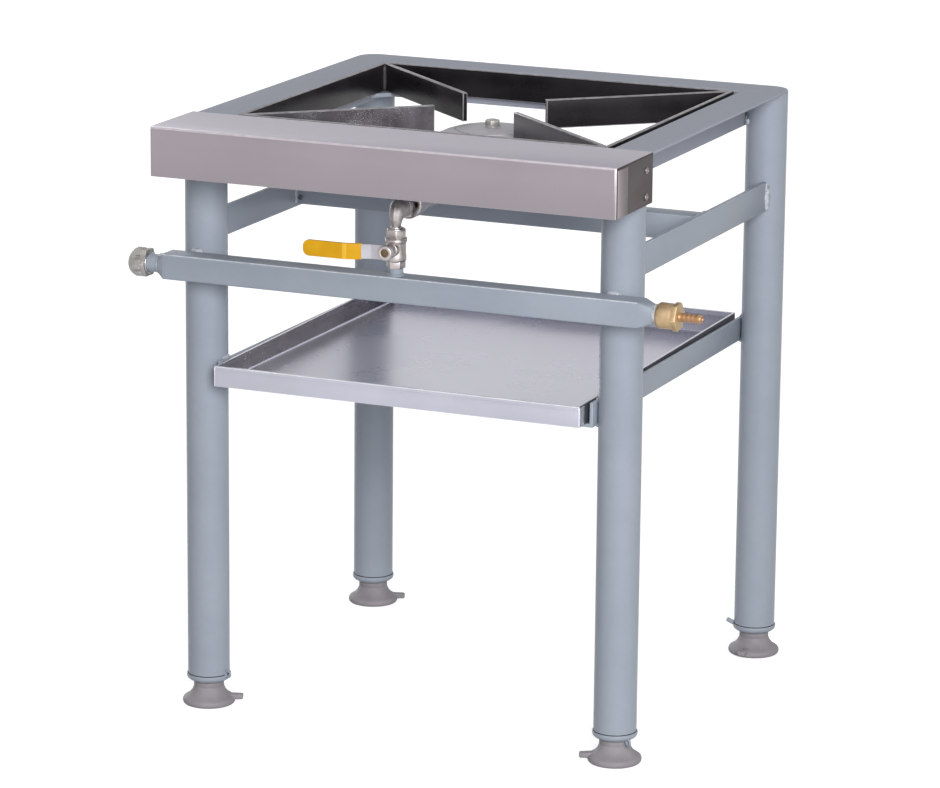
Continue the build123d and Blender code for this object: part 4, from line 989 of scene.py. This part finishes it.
def makeFittings():
    y, z = middleOf("hose_connector")[1:]
    place = (0, y, z)
    bm = lathe(hose["collar"], 80)
    join(bm, hexNut(*hose["hex"]))
    dressNode("hoseCollar", move(bm, place, alongX), "brass", "hose_connector")
    tail = move(lathe(hose["tail"], 56), place, alongX)
    finishPiece("hoseTail", tail, "frame", "tailBrass", smooth=45)
    softCopy("endCap", "manifold_end_cap", fittingEdge["cap"], 3, look="castZinc")
    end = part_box("manifold_end_cap")[1][0] - capMouth["sink"]
    mouth = move(lathe(capMouth["ring"], 64), (end, y, z), alongX)
    finishPiece("capMouthRing", mouth, "frame", "zincBright", smooth=50)
    softCopy("pipeNipples", "manifold_nipples", fittingEdge["nipples"])
    softCopy("threadTape", "thread_tape", fittingEdge["tape"])


makeFittings()
print("fittings made")


# ball valve
valve = dict(barrel=[(0, 573.5), (10.2, 573.5), (11.2, 574.4), (11.9, 576), (11.9, 580.6), (11.4, 582.4),
    (11.4, 594.6), (11.9, 596), (12.6, 597), (12.6, 598.6), (12.2, 599.3), (11.6, 599.5), (0, 599.5)],
    lowHex=(19.5, 566, 575, 0.8, -13), topHex=(21.6, 601.6, 610.6, 0.7, 23.4),
    insert=[(0, 599.4), (12.2, 599.4), (12.6, 599.8), (12.6, 600.7), (12.2, 601.1), (10.9, 601.2), (10.9, 602.2),
    (0, 602.2)], crown=[(0, 610.2), (10.2, 610.2), (10.2, 611.3), (9.8, 612), (9, 612), (8.5, 611), (0, 611)],
    boss=[(0, 0), (8.4, 0), (8, 12), (7.5, 13.2), (7.5, 14), (6.9, 14.4), (6.9, 15.2), (7.5, 15.6), (7.5, 16.4),
    (7, 17), (0, 17)], gland=(14, 16.8, 23.5, 0.6, 12), glandRing=[(0, 23.2), (6.2, 23.2),
    (6.6, 23.6), (6.6, 24.8), (6.2, 25.2), (5.2, 25.4), (5.2, 26.6), (0, 26.6)], nut=[(4.35, 0), (9, 0), (9, 1.2),
    (8.5, 2.2), (7.6, 2.8), (6.7, 3), (5.6, 3), (4.8, 2.6), (4.35, 1.6)], neckRing=[(5, 610.8), (6.6, 610.8),
    (6.8, 611.2), (6.6, 613.2), (6.2, 613.8), (5, 613.8)])


def makeValve():
    y = middleOf("valve_nipple")[1]
    pivot = middleOf("valve_stem")[2]
    body = lathe(valve["barrel"], 72)
    join(body, hexNut(*valve["lowHex"]))
    move(body, (0, y, 0))
    join(body, move(lathe(valve["boss"], 56), (0, y, pivot), facingFront))
    dressNode("valveBarrel", body, "nickel", "valve_body")
    insert = lathe(valve["insert"], 72)
    join(insert, hexNut(*valve["topHex"]))
    join(insert, lathe(valve["crown"], 72))
    dressNode("valveInsertHex", move(insert, (0, y, 0)), "nickel", "valve_insert")
    gland = hexNut(*valve["gland"])
    join(gland, lathe(valve["glandRing"], 48))
    dressNode("glandNut", move(gland, (0, y, pivot), facingFront), "nickel", "gland_nut")
    nut = move(lathe(valve["nut"], 64), (0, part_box("lever_nut")[1][1], pivot), facingFront)
    dressNode("leverNut", nut, "nickel", "lever_nut")
    finishPiece("neckRing", move(lathe(valve["neckRing"], 48), (0, y, 0)), "frame", "zincBright")
    softCopy("valveNipple", "valve_nipple", fittingEdge["valve"])


lever = dict(bend=2.5 * mm, edge=0.5 * mm, sleeveEdge=1.4 * mm, bendHighlight=0.6, leastBend=8)


def bendLines(bm, mark):  # rounds the upright bends of a cranked strip and gives them the edge colour by mark, a painted highlight on the sleeve
    edgeWearAndHighlight = wearAndHighlightLayer(bm)
    bends = [edge for edge in sharpEdges(bm, lever["leastBend"], sharpAngle)
        if abs(edge.verts[0].co.z - edge.verts[1].co.z) > 0.8 * edge.calc_length()]
    for face in bevelEdges(bm, bends, lever["bend"], 4, clamp=False):
        face[edgeWearAndHighlight] = mark


def makeLever():
    bm = copyNode("valve_lever")
    bendLines(bm, 0.0)
    softenEdges(bm, lever["edge"])
    dressNode("leverArm", bm, "leverPlate", "valve_lever", smooth=14)
    bm = copyNode("lever_sleeve")
    bendLines(bm, lever["bendHighlight"])
    bevelEdges(bm, sharpEdges(bm, sharpAngle), lever["sleeveEdge"], 4)
    dressNode("leverSleeve", bm, "yellowVinyl", "lever_sleeve", smooth=24)


# cast elbow on the valve; rows are (height, radius), the rim's are (step, radius)
elbow = dict(sides=40, start=(604, 5.2), rows=[(614, 5.3), (617, 5.9), (620, 6.8)], seam=0.4 * mm, bend=14 * mm,
    rise=634 * mm, sizes=(7.5, 8.3, 9.1, 9.8, 10.4, 10.9, 11.2, 11.4, 11.5), rim=[(0.3, 12), (0.5, 12.4), (4.6, 12.4),
    (0.5, 11.8)], mouth=7.2)


def makeElbow():
    y = middleOf("valve_nipple")[1]
    bm = bmesh.new()
    height, size = elbow["start"]
    made = bmesh.ops.create_circle(bm, segments=elbow["sides"], radius=size * mm,
        matrix=Matrix.Translation((0, y, height * mm)))
    for vert in made["verts"]:  # casting seam down the front and the back
        if abs(vert.co.x) < 0.05 * mm:
            vert.co.y += math.copysign(elbow["seam"], vert.co.y - y)
    edges = ringEdges(made)
    for row, radius in elbow["rows"]:
        edges = growRing(bm, edges, Matrix.Translation((0, 0, (row - height) * mm)), radius / size)
        height, size = row, radius
    centre = Matrix.Translation((0, y + elbow["bend"], elbow["rise"] - elbow["bend"]))
    bend = centre @ rotation(-90 / len(elbow["sizes"]), "X") @ centre.inverted()
    for radius in elbow["sizes"]:  # the casting widens round its bend
        edges = growRing(bm, edges, bend, radius / size)
        size = radius
    for step, radius in elbow["rim"] + [(0.0, elbow["mouth"])]:
        edges = growRing(bm, edges, Matrix.Translation((0, step * mm, 0)), radius / size)
        size = radius
    closeEnd(bm, edges)
    dressNode("castElbow", bm, "castNickel", "elbow", smooth=50)


makeValve()
makeLever()
makeElbow()
print("valve made")


# burner and what hangs below it; the shank has its radius, top, and its chamfer's width and height
burner = dict(cap=[(5.2, 679.5), (15, 679.5), (61, 666), (72.6, 666), (73, 666.4), (73, 668.8), (72.2, 670),
    (70.6, 671.2), (68, 672.6), (67.3, 672.4), (66.6, 672.6), (63, 674.9), (58, 677.2), (50, 679.8), (45.2, 681),
    (44.8, 680.2), (43.2, 680.2), (42.8, 681.5), (34, 683), (25, 684), (15, 684.5), (5.2, 684.5)],
    shank=(5 * mm, 685 * mm, 0.4 * mm, 0.6 * mm), washer=[(0, 684.4), (9.6, 684.4), (9.6, 685.3), (9.2, 685.7),
    (0, 685.7)], hex=(16, 685.6, 692.2, 0.8, 12), end=[(0, 691.6), (4.8, 691.6), (4.8, 692.6),
    (4.2, 693.1), (0, 693.1)])
burnerEdges = dict(injector=0.3, air_shutter=0.3, mixing_tube=0.4, burner_bowl=0.5, burner_nut=0.3)


def makeBurner():
    dressNode("burnerCap", lathe(burner["cap"], 128), "castGrey", "burner_cap", smooth=30)
    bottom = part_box("burner_bolt")[0][2]
    radius, top, wide, high = burner["shank"]
    bm = turned([(0.0, bottom), (radius - wide, bottom), (radius, bottom + high), (radius, top), (0.0, top)], 48)
    for part in ("washer", "end"):
        join(bm, lathe(burner[part], 48))
    join(bm, hexNut(*burner["hex"]))
    dressNode("burnerBolt", bm, "castZinc", "burner_bolt")
    softCopies(burnerEdges)


makeBurner()
print("burner made")


# clips on the leg caps, and a dark ring painted as the shadow in the gap between each cap and its leg; a place is
# turn, reach and height
clip = dict(wire=1.3 * mm, loop=3.6 * mm, loops=dict(front_left=(-11, 28.6 * mm, 39.5 * mm),
    front_right=(-32.4, 26.4 * mm, 29.0 * mm)), pegs=dict(back_right=(196, 24.2 * mm, 36.0 * mm)), pegLong=10 * mm,
    pegRise=5 * mm, pegThick=2.7 * mm, gapShadowRing=[(24.6, 37.4), (25.35, 37.4), (25.35, 38.6), (24.6, 38.6)])


def outwardAt(turn):
    return rotation(turn, "Z") @ Vector((1, 0, 0))


def wireLoop(middle, turn, reach, height):
    loop = ringTube(clip["loop"], clip["wire"], 40, 10)
    upright = rotation(turn, "Z") @ rotation(90, "X")
    return move(loop, middle + outwardAt(turn) * reach + Vector((0, 0, height)), upright)


def clipPeg(middle, turn, reach, height):
    root = middle + outwardAt(turn) * reach + Vector((0, 0, height))
    along = outwardAt(turn) * clip["pegLong"] + Vector((0, 0, clip["pegRise"]))
    length, thick = along.length, clip["pegThick"]
    peg = turned([(0.0, 0.0), (thick, 0.0), (thick, 0.9 * length), (0.7 * thick, length), (0.0, length)], 20)
    return move(peg, root, aimed(along))


def makeClips():
    bm, gaps = bmesh.new(), bmesh.new()
    for corner in corners:
        middle = footOf("leg_cap_" + corner)
        join(gaps, move(lathe(clip["gapShadowRing"], 64), middle))
        if corner in clip["loops"]:
            join(bm, wireLoop(middle, *clip["loops"][corner]))
        if corner in clip["pegs"]:
            join(bm, clipPeg(middle, *clip["pegs"][corner]))
    finishPiece("capClips", bm, "frame", "framePaint", smooth=60)
    finishPiece("capGapShadows", gaps, "frame", "gapShadow")


makeClips()
print("clips made")


# what stays as packed
for node, part in frame["nodes"].items():
    part.data.materials.clear()
    part.data.materials.append(finish["agedBrass" if node == "valve_stem" else finishOfSlot[slotOf[node]]])
